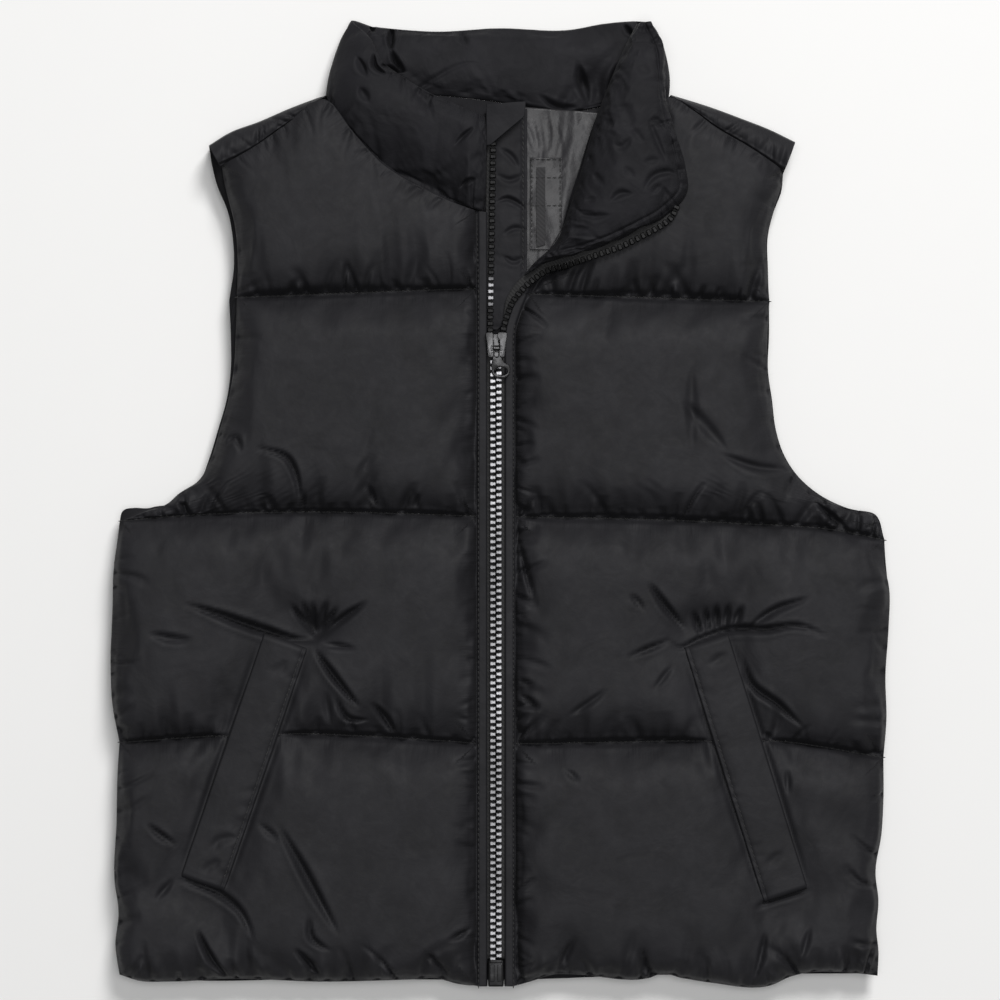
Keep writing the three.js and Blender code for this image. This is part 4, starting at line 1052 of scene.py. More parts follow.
def floor_material(name, colour):
    shader = Shader(name)
    grain = shader.noise(shader.place(), 60, detail=3)
    dark, light = shades(colour, 0.995, 1.005)
    return shader.finish(shader.mix(grain, dark, light), shader.ramp(grain, 0.3, 0.7, 0.9, 0.95))


def material(kind):
    """The one material of a kind, made on its first use."""
    name = "vest_" + kind
    found = bpy.data.materials.get(name)
    if found:
        return found
    tones = bpy.context.scene.vest_colours
    makers = {
        "shell": lambda: shell_material(name, tuple(tones.shell), 0.2, 0.18),
        # The collar finish (collar and turned back edge) and the flap finish are the shell's nylon with less
        # gloss: darker copies of it that paint shade on them
        "collar": lambda: shell_material(name, tuple(tones.shell), 0.4, 0.085),
        "flap": lambda: shell_material(name, tuple(tones.shell), 0.3, 0.12),
        "lining": lambda: lining_material(name, tuple(tones.lining)),
        "ribbon": lambda: tape_material(name, tuple(part * 0.8 for part in tones.lining)),
        "tape": lambda: tape_material(name, tuple(tones.tape)),
        "teeth": lambda: tooth_material(name, tuple(tones.teeth)),
        "metal": lambda: metal_material(name, tuple(tones.metal), 0.3),
        "box": lambda: metal_material(name, tuple(part * 0.25 for part in tones.teeth), 0.42),
        "thread": lambda: thread_material(name, tuple(tones.thread)),
        "floor": lambda: floor_material(name, tuple(tones.floor)),
    }
    return makers[kind]()


# What repeats along a line


def repeat_tree():
    """Geometry nodes that set copies of an object along a line, turned to it and to its up direction."""
    found = bpy.data.node_groups.get("Repeat along a line")
    if found:
        return found
    tree = bpy.data.node_groups.new("Repeat along a line", "GeometryNodeTree")
    face = tree.interface
    face.new_socket("Line", in_out="INPUT", socket_type="NodeSocketGeometry")
    face.new_socket("Copy", in_out="INPUT", socket_type="NodeSocketObject")
    face.new_socket("Pitch", in_out="INPUT", socket_type="NodeSocketFloat")
    face.new_socket("Material", in_out="INPUT", socket_type="NodeSocketMaterial")
    face.new_socket("Geometry", in_out="OUTPUT", socket_type="NodeSocketGeometry")
    nodes, links = tree.nodes, tree.links

    def node(kind, settings=None, sockets=None):
        made = nodes.new(kind)
        for name, value in (settings or {}).items():
            setattr(made, name, value)
        for name, value in (sockets or {}).items():
            if isinstance(value, bpy.types.NodeSocket):
                links.new(value, made.inputs[name])
            else:
                made.inputs[name].default_value = value
        return made

    given = node("NodeGroupInput").outputs
    curve = node("GeometryNodeMeshToCurve", {}, {"Mesh": given["Line"]}).outputs[0]
    spots = node("GeometryNodeResampleCurve", {"mode": "LENGTH"}, {"Curve": curve, "Length": given["Pitch"]})
    tangent = node("GeometryNodeInputTangent").outputs[0]
    up = node("GeometryNodeInputNamedAttribute", {"data_type": "FLOAT_VECTOR"}, {"Name": "up"}).outputs[0]
    turn = node("FunctionNodeAxesToRotation", {"primary_axis": "Y", "secondary_axis": "Z"},
                {"Primary Axis": tangent, "Secondary Axis": up}).outputs[0]
    copy = node("GeometryNodeObjectInfo", {"transform_space": "ORIGINAL"}, {"Object": given["Copy"]})
    placed = node("GeometryNodeInstanceOnPoints", {}, {
        "Points": spots.outputs[0], "Instance": copy.outputs["Geometry"], "Rotation": turn}).outputs[0]
    whole = node("GeometryNodeRealizeInstances", {}, {"Geometry": placed}).outputs[0]
    painted = node("GeometryNodeSetMaterial", {}, {"Geometry": whole, "Material": given["Material"]})
    node("NodeGroupOutput", {}, {"Geometry": painted.outputs[0]})
    return tree


def repeat(name, lines, copy, pitch, paint):
    """Copies of an object along lines, as one plain mesh."""
    mesh = bpy.data.meshes.new(name + "_line")
    points = np.concatenate(lines) * MM
    edges, shift = [], 0
    for line in lines:
        edges += [(shift + i, shift + i + 1) for i in range(len(line) - 1)]
        shift += len(line)
    mesh.from_pydata(points.tolist(), edges, [])
    up = mesh.attributes.new("up", "FLOAT_VECTOR", "POINT")
    up.data.foreach_set("vector", np.tile([0.0, 0.0, 1.0], len(points)))
    host = bpy.data.objects.new(name + "_line", mesh)
    bpy.context.scene.collection.objects.link(host)
    modifier = host.modifiers.new("Repeat", "NODES")
    tree = repeat_tree()
    modifier.node_group = tree
    sockets = {item.name: item.identifier for item in tree.interface.items_tree
               if item.item_type == "SOCKET" and item.in_out == "INPUT"}
    modifier[sockets["Copy"]] = copy
    modifier[sockets["Pitch"]] = pitch * MM
    modifier[sockets["Material"]] = paint
    depsgraph = bpy.context.evaluated_depsgraph_get()
    baked = bpy.data.meshes.new_from_object(host.evaluated_get(depsgraph), depsgraph=depsgraph)
    bpy.data.objects.remove(host)
    bpy.data.objects.remove(copy)
    made = bpy.data.objects.new(name, baked)
    bpy.context.scene.collection.objects.link(made)
    if not len(baked.vertices):
        raise RuntimeError(f"{name} came out empty")
    return made


def stitch_shape(length, radius):
    """One stitch along Y: a low bead that dips into the cloth at both ends."""
    rings, sides = 5, 6
    t = np.linspace(0, 1, rings)[:, None]
    angle = 2 * math.pi * np.arange(sides) / sides
    bulge = radius * np.sin(math.pi * (0.12 + 0.76 * t))
    y = (t - 0.5) * length + 0 * angle
    sections = np.stack([bulge * np.cos(angle), y, bulge * np.sin(angle) + bulge - 0.8 * radius], -1)
    return face_out(new_object("stitch", *tube_parts(sections)))


def stitches(name, lines, sizes, lift=0.0):
    """A row of stitches along each line."""
    steps = [spline(line, np.linspace(0, 1, max(3, int(length_of(line) / 2)))) for line in lines]
    raised = [line + np.array([0, 0, lift]) for line in steps]
    copy = stitch_shape(sizes.stitch_length / MM * 0.78, sizes.thread / MM / 2)
    made = repeat(name, raised, copy, sizes.stitch_length / MM, material("thread"))
    made.data.polygons.foreach_set("use_smooth", [True] * len(made.data.polygons))
    return settle(made)


def settle(made, nodes=(), body=BODY):
    """Give a finished piece its body and hide the imported parts that it stands for."""
    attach(made, body)
    if nodes:
        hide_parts(*nodes)
    return made


def pad(name, parts, paint, seams, node):
    """Finish a padded piece: its mesh, its seam coordinates and what it stands for."""
    made = shade(new_object(name, *parts), material(paint))
    add_map(made, "seams", seams)
    face_out(made)
    settle(made, [node])
    return made


# Sizes and colours that a user would change


class VestSizes(bpy.types.PropertyGroup):
    crown: bpy.props.FloatProperty(
        name="Padding", description="How far a channel's padding rises over its stitch lines",
        default=0.0125, unit="LENGTH")
    back_crown: bpy.props.FloatProperty(
        name="Back padding", description="How far the back's padding drops below its stitch lines",
        default=0.0105, unit="LENGTH")
    pressure: bpy.props.FloatProperty(
        name="Filling", description="Pressure of the filling against the cloth", default=2.4)
    growth: bpy.props.FloatProperty(
        name="Fullness of the cloth", description="Share by which the cloth is cut larger than its lining",
        default=0.012, subtype="FACTOR")
    cap: bpy.props.FloatProperty(
        name="Most movement", description="How far the filling may push a point of the cloth",
        default=0.0026, unit="LENGTH")
    pucker_depth: bpy.props.FloatProperty(
        name="Puckers", description="Depth of the puckers beside the seams", default=1.45)
    tooth_pitch: bpy.props.FloatProperty(
        name="Tooth pitch", description="Distance between the teeth of one half of the zip",
        default=TEETH_PITCH * MM, unit="LENGTH")
    stitch_length: bpy.props.FloatProperty(
        name="Stitch length", description="Distance from one stitch to the next", default=0.0028,
        unit="LENGTH")
    thread: bpy.props.FloatProperty(
        name="Thread", description="Thickness of the sewing thread", default=0.0006, unit="LENGTH")


def colour_property(name, description, default):
    return bpy.props.FloatVectorProperty(name=name, description=description, default=default, size=3,
                                         min=0.0, max=1.0, subtype="COLOR")


class VestColours(bpy.types.PropertyGroup):
    shell: colour_property("Shell", "Nylon of the panels", (0.0150, 0.0149, 0.0172))
    lining: colour_property("Lining", "Lining in the neck", (0.021, 0.0205, 0.023))
    tape: colour_property("Zip tape", "Woven tape of the zip", (0.007, 0.007, 0.0076))
    teeth: colour_property("Zip teeth", "Moulded teeth and box of the zip", (0.12, 0.12, 0.125))
    metal: colour_property("Slider", "Metal of the slider and its pull tab", (0.045, 0.045, 0.046))
    thread: colour_property("Thread", "Sewing thread", (0.004, 0.004, 0.0045))
    floor: colour_property("Floor", "Surface below the vest", (0.90, 0.90, 0.895))


# Pieces


FINER = 4  # fine steps in one step of the grid that the cloth is worked on
STRIP = ((0, 0.4, 1.0, 4.4, 5.0, 5.5, 6.0), (5.6, 6.8, 7.2, 7.0, 6.4, 4.6, 4.5))


def finer(grid, wrap=False):
    return doubled(doubled(grid, 0), 1, wrap)


def finest(grid, wrap=False):
    return finer(finer(grid, wrap), wrap)


def fine_channels(channels):
    rows = np.arange((len(channels) - 1) * FINER + 1)
    return channels[-(-rows // FINER)]


def front_piece(node, panel, sizes):
    """Build a front and give back its fine outer face and its stitch rows."""
    places, channels, stitched = panel_grid(panel, FRONT_COLUMNS, FRONT_ROW_STEP)
    fullness, cover = panel_fullness(node, panel, places, channels)
    height = sizes.crown / MM * fullness - gather_relief(places) * fullness
    level = FRONT_BASE + SEAM + np.maximum(height, 0)
    strip = slice(0, 4) if panel["zip"] == "west" else slice(-4, None)
    level[:, strip] = FRONT_BASE + PLACKET_RISE
    pinned = np.zeros(level.shape, bool)
    pinned[stitched] = True
    pinned[:, [0, -1]] = True
    pinned[:, strip] = True
    pinned |= cover > 0.999
    grid = np.concatenate([places, level[..., None]], -1)
    grid = inflate(grid, False, pinned, sizes.pressure, sizes.growth, sizes.cap / MM)
    face = finest(grid)
    relief, seam_uv, beside = panel_relief(node, panel, face[..., :2], fine_channels(channels),
                                           sizes.pucker_depth)
    lowest = FRONT_BASE + SEAM
    face[..., 2] -= relief * np.clip((face[..., 2] - lowest) / 3, 0, 1)
    face[..., 2] = np.maximum(face[..., 2], lowest - 0.3)
    profile = FRONT_BASE + np.interp(beside, *STRIP)
    blend = smooth(beside, 5.6, 7.2)
    face[..., 2] = profile * (1 - blend) + np.maximum(face[..., 2], FRONT_BASE + 4.4 * (1 - blend)) * blend
    rim = rim_of(*face.shape[:2])
    seams = np.concatenate([seam_uv.reshape(-1, 2), seam_uv[rim[:, 0], rim[:, 1]]])
    pad(node + "_shell", shell_parts(face, FRONT_BASE), "shell", seams, node)
    return face, beside, [row * FINER for row in stitched]


def surface_tree(made):
    depsgraph = bpy.context.evaluated_depsgraph_get()
    return BVHTree.FromObject(made, depsgraph)


def heights_at(tree, places, fallback):
    """Height of a surface under each place, in millimetres."""
    levels = []
    for x, y in places.reshape(-1, 2):
        hit = tree.ray_cast(Vector((x * MM, y * MM, 0.2)), Vector((0, 0, -1)))[0]
        levels.append(hit.z / MM if hit else fallback)
    return np.array(levels).reshape(places.shape[:-1])


class VEST_OT_fronts(bpy.types.Operator):
    """Build the two quilted fronts"""

    bl_idname = "vest.fronts"
    bl_label = "Fronts"

    def execute(self, context):
        sizes = context.scene.vest_sizes
        strips, quilting = [], []
        for node, panel in (("front_right", RIGHT_FRONT), ("front_left", LEFT_FRONT)):
            face, beside, stitched = front_piece(node, panel, sizes)
            column = int(np.argmin(np.abs(beside[200] - 4.6)))
            top = stitched[4] if panel["zip"] == "east" else stitched[3] - 24
            strips.append(face[:top:4, column])
            for row in stitched[1:-1]:
                inner = beside[row] > 6.5
                quilting.append(face[row][inner][::3])
        stitches("placket_stitches", strips, sizes, lift=0.1)
        stitches("quilting_stitches", quilting, sizes, lift=0.25)
        return {"FINISHED"}


class VEST_OT_back(bpy.types.Operator):
    """Build the quilted back with its rolled shoulders"""

    bl_idname = "vest.back"
    bl_label = "Back"

    shoulders = (
        (table((-151.5, 181.4), (-135.3, 189.2), (-116.4, 202.2), (-94.8, 217)),
         table((-156.6, 190.8), (-145.2, 197.8), (-129.5, 203.7), (-113.4, 210.7), (-94.2, 218)), True),
        (table((91.4, 217.8), (104.6, 210.2), (115.5, 202.2), (132.8, 192), (146.2, 183.4), (153.4, 178.6)),
         table((91.6, 218.2), (113.4, 211.4), (129.6, 205.4), (145.8, 199), (158.8, 192.6)), False),
    )

    def roll(self, seam, edge, from_arm, sizes):
        """A shoulder's roll, from the seam over the edge and down to the back."""
        along_shares = np.linspace(0, 1, 56)
        across = np.concatenate([np.linspace(-0.12, 1, 18), np.linspace(1.03, 1.3, 8)])
        line, rim = spline(seam, along_shares), spline(edge, along_shares)
        arm = along_shares if from_arm else 1 - along_shares
        random = Random(f"roll {from_arm}")
        rows = []
        for w in across:
            flat = line + (rim - line) * min(w, 1.0)
            fall = max(w - 1.0, 0.0) / 0.3
            outward = (rim - line) / np.maximum(np.linalg.norm(rim - line, axis=1, keepdims=True), 1e-6)
            flat = flat + outward * (1.4 * math.sin(math.pi * min(fall, 1.0)))
            fullness = 0.95 - 0.2 * arm
            rise = 1 + 11.5 * fullness * math.sin(math.pi * min(0.3 + 0.55 * max(w, 0), 0.85)) ** 0.7
            level = BACK_TOP + rise
            level = level * (1 - fall) + 2.5 * fall
            if w < 0:
                level = level - 3.0
            rows.append(np.concatenate([flat, np.broadcast_to(level, along_shares.shape)[:, None]], -1))
        grid = np.array(rows)
        run = np.broadcast_to(along_shares * length_of(seam), grid.shape[:2])
        off = np.broadcast_to(across[:, None] * 10, grid.shape[:2])
        grooves = pucker_relief(np.abs(off), run, length_of(seam), 1.5, 12, 7, random)
        grid[..., 2] -= grooves * np.clip(grid[..., 2] - BACK_TOP, 0, 4) / 4
        return grid

    def execute(self, context):
        sizes = context.scene.vest_sizes
        places, channels, stitched = panel_grid(BACK, BACK_COLUMNS, BACK_ROW_STEP)
        fullness, _ = panel_fullness("back", BACK, places, channels)
        relief, seam_uv, _ = panel_relief("back", BACK, places, channels, sizes.pucker_depth)
        depth = sizes.back_crown / MM * fullness - relief * np.clip(fullness * 3, 0, 1)
        level = BACK_TOP - SEAM - np.maximum(depth, 0)
        pinned = np.zeros(level.shape, bool)
        pinned[stitched] = True
        pinned[:, [0, -1]] = True
        grid = np.concatenate([places, level[..., None]], -1)[:, ::-1]
        grid = inflate(grid, False, pinned[:, ::-1], sizes.pressure, sizes.growth, sizes.cap / MM)
        grid[..., 2] = np.maximum(grid[..., 2], 0)
        face = finer(grid)
        face[..., 2] = np.maximum(face[..., 2], 0)
        parts = [shell_parts(face, BACK_TOP)]
        seams = finer(seam_uv[:, ::-1])
        rim = rim_of(*face.shape[:2])
        coordinates = [seams.reshape(-1, 2), seams[rim[:, 0], rim[:, 1]]]
        for seam, edge, from_arm in self.shoulders:
            roll = finer(self.roll(seam, edge, from_arm, sizes))
            vertices, faces = shell_parts(roll, 2.0)
            parts.append((vertices, faces))
            coordinates.append(np.stack([vertices[:, 0], np.full(len(vertices), 3.0)], -1))
        pad("back_shell", joined(parts), "shell", np.concatenate(coordinates), "back_panel")
        return {"FINISHED"}


class VEST_OT_collar(bpy.types.Operator):
    """Build the padded collar"""

    bl_idname = "vest.collar"
    bl_label = "Collar"

    def execute(self, context):
        sizes = context.scene.vest_sizes
        sewn = np.array([row[0] for row in COLLAR], float)
        free = np.array([row[1] for row in COLLAR], float)
        depth = np.array([(row[2], row[3]) for row in COLLAR], float)
        t = np.linspace(0, 1, 130)
        knots = np.linspace(0, 1, len(COLLAR))
        low, high = by_knots(sewn, knots, t), by_knots(free, knots, t)
        middle = (low + high) / 2
        out = np.cross(high - low, np.gradient(middle, axis=0))
        out /= np.linalg.norm(out, axis=1, keepdims=True)
        full = np.stack([np.interp(t, knots, depth[:, i]) for i in (0, 1)], -1)
        span = np.linalg.norm(high - low, axis=1)
        tuck = np.interp(t, *COLLAR_TUCK)
        low[:, 2] -= 0.7 * tuck
        outer = eased(22, 0.5)
        inner = eased(20, 0.5)[1:-1][::-1]
        sections, edge = [], []
        for shares, way, column in ((outer, 1, 0), (inner, -1, 1)):
            for w in shares:
                from_seam = np.maximum(w * span - (0.25 * tuck if way > 0 else 0), 0)
                near = np.minimum(from_seam, (1 - w) * span)
                if way < 0:
                    near = np.minimum(from_seam * 0.62, (1 - w) * span * 2.2)
                steep = 0.6 + (0.09 * tuck if way > 0 else 0)
                half = 1.0 + full[:, column] * swell(near, span / 2, steep)
                sections.append(low * (1 - w) + high * w + way * half[:, None] * out)
                edge.append(np.minimum(w, 1 - w) * span)
        grid = np.array(sections).transpose(1, 0, 2)
        distance = np.array(edge).T
        reached = np.broadcast_to((t * length_of(middle))[:, None], distance.shape)
        side = np.concatenate([np.ones(len(outer)), -np.ones(len(inner))])
        push = out[:, None, :] * side[None, :, None]
        lower = np.broadcast_to(np.concatenate([outer, inner]) < 0.5, distance.shape).astype(float)
        pinned = np.zeros(grid.shape[:2], bool)
        pinned[:, 0] = True
        pinned[[0, -1]] = True
        grid = inflate(grid, True, pinned, sizes.pressure, sizes.growth * 1.3, sizes.cap / MM)
        grid[..., 2] = np.maximum(grid[..., 2], 0.2)
        face, push, lower = (finest(part, wrap=True) for part in (grid, push, lower[..., None]))
        seams = finest(np.stack([reached, distance], -1), wrap=True)
        relief = np.where(push[..., 2] > 0.05, crease_relief(face[..., :2], COLLAR_CREASES), 0)
        for number, (chosen, strength, reach, spacing) in enumerate(((lower[..., 0] > 0.5, 1.4, 13, 10),
                                                                    (lower[..., 0] <= 0.5, 1.2, 9, 9))):
            random = Random(f"collar {number}")
            spots = seams[chosen]
            relief[chosen] += pucker_relief(spots[:, 1], spots[:, 0], length_of(middle), strength, reach,
                                            spacing, random)
        hollow = np.exp(-((((face[..., :2] - np.array([53.0, 222.0])) / np.array([7.0, 9.0])) ** 2).sum(-1)))
        relief += np.where(push[..., 2] > 0.05, 9.0 * hollow, 0)
        face = face - np.clip(relief, -2, 9)[..., None] * push
        pad("collar_shell", tube_parts(face), "collar", seams.reshape(-1, 2), "collar")
        return {"FINISHED"}


class VEST_OT_lapel(bpy.types.Operator):
    """Build the turned back front edge"""

    bl_idname = "vest.lapel"
    bl_label = "Turned back edge"

    def execute(self, context):
        sizes = context.scene.vest_sizes
        roll = np.array([row[0] for row in LAPEL], float)
        rim = np.array([row[1] for row in LAPEL], float)
        levels = np.array([row[2:] for row in LAPEL], float)
        knots = np.linspace(0, 1, len(LAPEL))
        t = np.linspace(0, 1, 76)
        start, end = by_knots(roll, knots, t), by_knots(rim, knots, t)
        roll_top, rim_top, crown = (np.interp(t, knots, levels[:, i]) for i in range(3))
        run = end - start
        outward = -run / np.linalg.norm(run, axis=1, keepdims=True)
        across = eased(26, 0.5)
        loops = []
        for w in across:
            fullness = swell(min(w, 1 - w), 0.5, 0.6)
            lip = 4.0 * (1 - swell(min(w, 1 - w), 0.16))
            level = roll_top * (1 - w) + rim_top * w + crown * fullness - lip
            loops.append(np.concatenate([start + run * w, level[:, None]], -1))
        under = 2.4 * smooth(np.linalg.norm(run, axis=1), 8, 24)
        for share in (0.75, 0.5, 0.25, 0.0):
            level = LAPEL_FOOT + (loops[len(across) - 1][:, 2] - LAPEL_FOOT) * share
            inset = under[:, None] * math.sin(math.pi * min(1.3 - share, 1) / 2)
            loops.append(np.concatenate([end + outward * inset, level[:, None]], -1))
        for share in (0.0, 0.2, 0.4, 0.6, 0.8):
            level = LAPEL_FOOT + (loops[0][:, 2] - LAPEL_FOOT) * share
            bulge = 1.8 * math.sin(math.pi * share) - 1.2 * (1 - share)
            loops.append(np.concatenate([start + outward * bulge, level[:, None]], -1))
        grid = np.array(loops).transpose(1, 0, 2)
        pinned = np.zeros(grid.shape[:2], bool)
        pinned[[0, -1]] = True
        pinned[:, len(across):] = True
        grid = inflate(grid, True, pinned, sizes.pressure, sizes.growth * 1.5, sizes.cap / MM)
        face = finest(grid, wrap=True)
        top = slice(0, FINER * (len(across) - 1) + 1)
        spots = face[:, top, :2]
        edge_line = fine_line(end)
        away, reached = line_distance(spots, edge_line)
        relief = crease_relief(spots, LAPEL_CREASES)
        relief += pucker_relief(away, reached, length_of(edge_line), 1.5, 9, 6.5, Random("lapel"))
        roll_away, roll_reached = line_distance(spots, fine_line(start))
        relief += pucker_relief(roll_away, roll_reached, length_of(start), 1.2, 8, 9, Random("lapel roll"))
        relief += 1.3 * np.exp(-(((away - 4.2) / 0.8) ** 2)) * smooth(reached, 12, 30)
        face[:, top, 2] -= np.clip(relief, -1.5, 5)
        flat, reach = line_distance(face[..., :2].reshape(-1, 2), edge_line)
        pad("lapel_shell", tube_parts(face), "collar", np.stack([reach, flat], -1), "lapel_left")
        return {"FINISHED"}


class VEST_OT_welts(bpy.types.Operator):
    """Build the slanted pocket welts with their stitching"""

    bl_idname = "vest.welts"
    bl_label = "Pocket welts"

    def execute(self, context):
        sizes = context.scene.vest_sizes
        lines = []
        for name, welt in WELTS.items():
            surface = surface_tree(bpy.data.objects[welt["panel"] + "_shell"])
            start, end = np.array(welt["from"], float), np.array(welt["to"], float)
            run = (end - start) / np.linalg.norm(end - start)
            side = np.array([run[1], -run[0]]) * WELT["width"] / 2
            along_shares = np.linspace(0, 1, 72)
            half = np.array([0.25, 0.5, 0.74, 0.8, 0.88, 0.95, 0.985, 1])
            across = np.concatenate([-half[::-1], [0], half])
            places = start + along_shares[:, None, None] * (end - start) + across[None, :, None] * side
            under = heights_at(surface, places, FRONT_BASE + SEAM)
            coefficients = np.polynomial.polynomial.polyfit(along_shares, under.max(axis=1), 5)
            level = np.polynomial.polynomial.polyval(along_shares, coefficients)[:, None]
            bow = 0.9 * (1 - across**2)
            rise = WELT["thickness"] * np.ones_like(under)
            outer = -1 if name.endswith("left") else 1
            height = level + rise + bow
            height -= 0.5 * np.exp(-(((across + outer * 0.8) / 0.05) ** 2))
            from_edge = np.abs(across + outer)[None, :] * WELT["width"] / 2 * np.ones_like(under)
            length = np.linalg.norm(end - start)
            down = along_shares[:, None] * length * np.ones_like(under)
            height -= pucker_relief(from_edge, down, length, 0.6, 7, 8, Random(name))
            height -= crease_relief(places, WELT_CREASES)
            end_away = np.minimum(along_shares, 1 - along_shares)[:, None] * np.linalg.norm(end - start)
            height -= 1.6 * np.exp(-((end_away / 0.7) ** 2))
            height -= 1.4 * np.exp(-(((1 - np.abs(across)) / 0.03) ** 2))
            wobble = 0.25 * np.sin(along_shares * 21 + 1.3)[:, None] * (0.4 + across**2)
            height += wobble
            grid = np.concatenate([places, height[..., None]], -1)
            if outer < 0:
                grid = grid[:, ::-1]
            face = finer(grid)
            vertices, faces = shell_parts(face, under.min() - 1.0)
            seams = np.stack([vertices[:, 1], np.full(len(vertices), FAR_FROM_SEAM)], -1)
            pad(name + "_cloth", (vertices, faces), "shell", seams, name)
            column = int(np.argmin(np.abs(across + outer * 0.8)))
            column = len(across) - 1 - column if outer < 0 else column
            lines.append(grid[4:-4, column])
        stitches("welt_stitches", lines, sizes, lift=0.1)
        return {"FINISHED"}


class VEST_OT_neck(bpy.types.Operator):
    """Build the lining, its patch, the flap behind the zip and the zip's garage"""

    bl_idname = "vest.neck"
    bl_label = "Inside of the neck"

    def execute(self, context):
        sizes = context.scene.vest_sizes
        self.lining()
        self.patch(sizes)
        self.flap(sizes)
        self.garage()
        return {"FINISHED"}

    def lining(self):
        west = table((-5.6, 92.4), (-5.6, 214.0))
        east = table((1.6, 95), (4.2, 101), (8.4, 112), (13.8, 122.8), (19.6, 128.8), (27.2, 135.4),
                     (34.6, 146), (40.1, 163), (43.6, 169.4), (47.9, 189.5), (54.5, 209.6))
        grid = ruled_grid(west, east, 60, 30)
        x, y = grid[..., 0], grid[..., 1]
        waves = 0.5 * np.sin(x * 0.22 + y * 0.05) + 0.35 * np.sin(x * 0.11 - y * 0.13 + 1)
        fold = 1.1 * np.exp(-(((x - 36 - (y - 170) * 0.12) / 3.0) ** 2))
        level = LINING_Z + 0.55 * waves + 0.7 * fold
        sheet_piece("neck_lining_cloth", grid, level, 0.5, "lining", ["neck_lining"])

    def patch(self, sizes):
        west = table((16.2, 135.4), (16.2, 185.2))
        east = table((26.5, 135.4), (33.5, 146.5), (33.5, 185.2))
        grid = ruled_grid(west, east, 40, 16)
        x, y = grid[..., 0], grid[..., 1]
        level = PATCH_Z + 0.2 * np.sin(x * 0.4 + y * 0.1)
        sheet_piece("lining_patch_cloth", grid, level, 0.4, "lining", ["lining_patch"])
        ribbon = ruled_grid(table((19.6, 136.5), (19.6, 180.0)), table((24.4, 138.0), (24.4, 180.0)), 24, 6)
        level = np.full(ribbon.shape[:2], PATCH_Z + 0.5)
        sheet_piece("patch_ribbon", ribbon, level, 0.35, "ribbon", [])
        left, right, top, top_z = 17.2, 32.5, 184.2, 16.6
        ends = [((left, 137.0), (left, top)), ((right, 148.0), (right, top))]
        ends += [((left, y), (right, y)) for y in (top, 174.4, 159.3)]
        rows = [table(*((*place, top_z) for place in row)) for row in ends]
        stitches("patch_stitches", rows, sizes, lift=0.15)

    def flap(self, sizes):
        west = table((FLAP_WEST, 92.4), (FLAP_WEST, 211.4))
        east = table((-1.6, 92.4), (1.6, 95), (4, 101), (8.2, 112), (13.8, 122.6), (FLAP_EAST, 124.6),
                     (FLAP_EAST, 211.4))
        grid = ruled_grid(west, east, 110, 18)
        x, y = grid[..., 0], grid[..., 1]
        distance = np.clip(FLAP_EAST - x, 0, 30)
        from_west = np.clip(x - FLAP_WEST, 0, 30)
        grooves = pucker_relief(distance, y - 92, 120, 0.45, 15, 16, Random("flap east"))
        grooves += pucker_relief(from_west, y - 92, 120, 0.4, 16, 18, Random("flap west"))
        grooves += crease_relief(grid, FLAP_CREASES)
        hem = 0.7 * np.exp(-(((distance - 2.2) / 0.7) ** 2))
        level = FLAP_Z + 0.9 * np.clip(distance / 8, 0, 1) * np.clip(from_west / 8, 0, 1) - grooves - hem
        sheet_piece("wind_flap_cloth", grid, level, 1.0, "flap", ["wind_flap"])
        line = np.stack([np.full(40, 12.4), np.linspace(126, 210, 40), np.full(40, 17.5)], -1)
        stitches("flap_stitches", [line], sizes, lift=0.1)

    def garage(self):
        lower = table((-7.4, 191.2), (-5.4, 191.2), (13, 206.8))
        upper = table((-7.4, 213.2), (14, 214.8))
        grid = ruled_grid(lower, upper, 20, 20).transpose(1, 0, 2)
        x, y = grid[..., 0], grid[..., 1]
        level = GARAGE_Z + 0.7 * np.sin((x + 8) * 0.15) + 0.3 * np.sin(y * 0.3 + x * 0.1)
        sheet_piece("zip_garage_cloth", grid, level, 1.6, "flap", ["zip_garage"])


def ruled_grid(first, second, rows, columns):
    """Places between two lines: rows go along them and columns across."""
    shares = np.linspace(0, 1, rows + 1)
    a, b = along(first, shares), along(second, shares)
    u = np.linspace(0, 1, columns + 1)[None, :, None]
    return a[:, None] * (1 - u) + b[:, None] * u


def sheet_piece(name, places, level, thickness, paint, nodes):
    """A thin sheet of cloth over places, at a height for each of them."""
    grid = np.concatenate([places, level[..., None]], -1)
    vertices, faces = strip_parts(finer(grid), thickness)
    made = shade(new_object(name, vertices, faces), material(paint))
    add_map(made, "seams", np.stack([vertices[:, 1], np.full(len(vertices), 12.0)], -1))
    face_out(made)
    settle(made, nodes)
    return made


# The zip


def tooth_shape(way):
    """One tooth with its clamp on the tape's side at -X and its head at +X, or turned round."""
    outline = [(-1.62, 1.0), (-1.2, 1.25), (-0.3, 1.25), (0.2, 1.0), (0.7, 0.95), (1.1, 1.15), (1.6, 0.9)]
    ring = [(x * way, y) for x, y in outline] + [(x * way, -y) for x, y in reversed(outline)]
    layers = ((0.0, 0.94), (0.3, 1.0), (1.7, 1.0), (2.3, 0.86), (2.55, 0.62))
    sections = [[(x * (0.4 + share * 0.6), y * share, z) for x, y in ring] for z, share in layers]
    return face_out(new_object("tooth", *tube_parts(np.array(sections))))


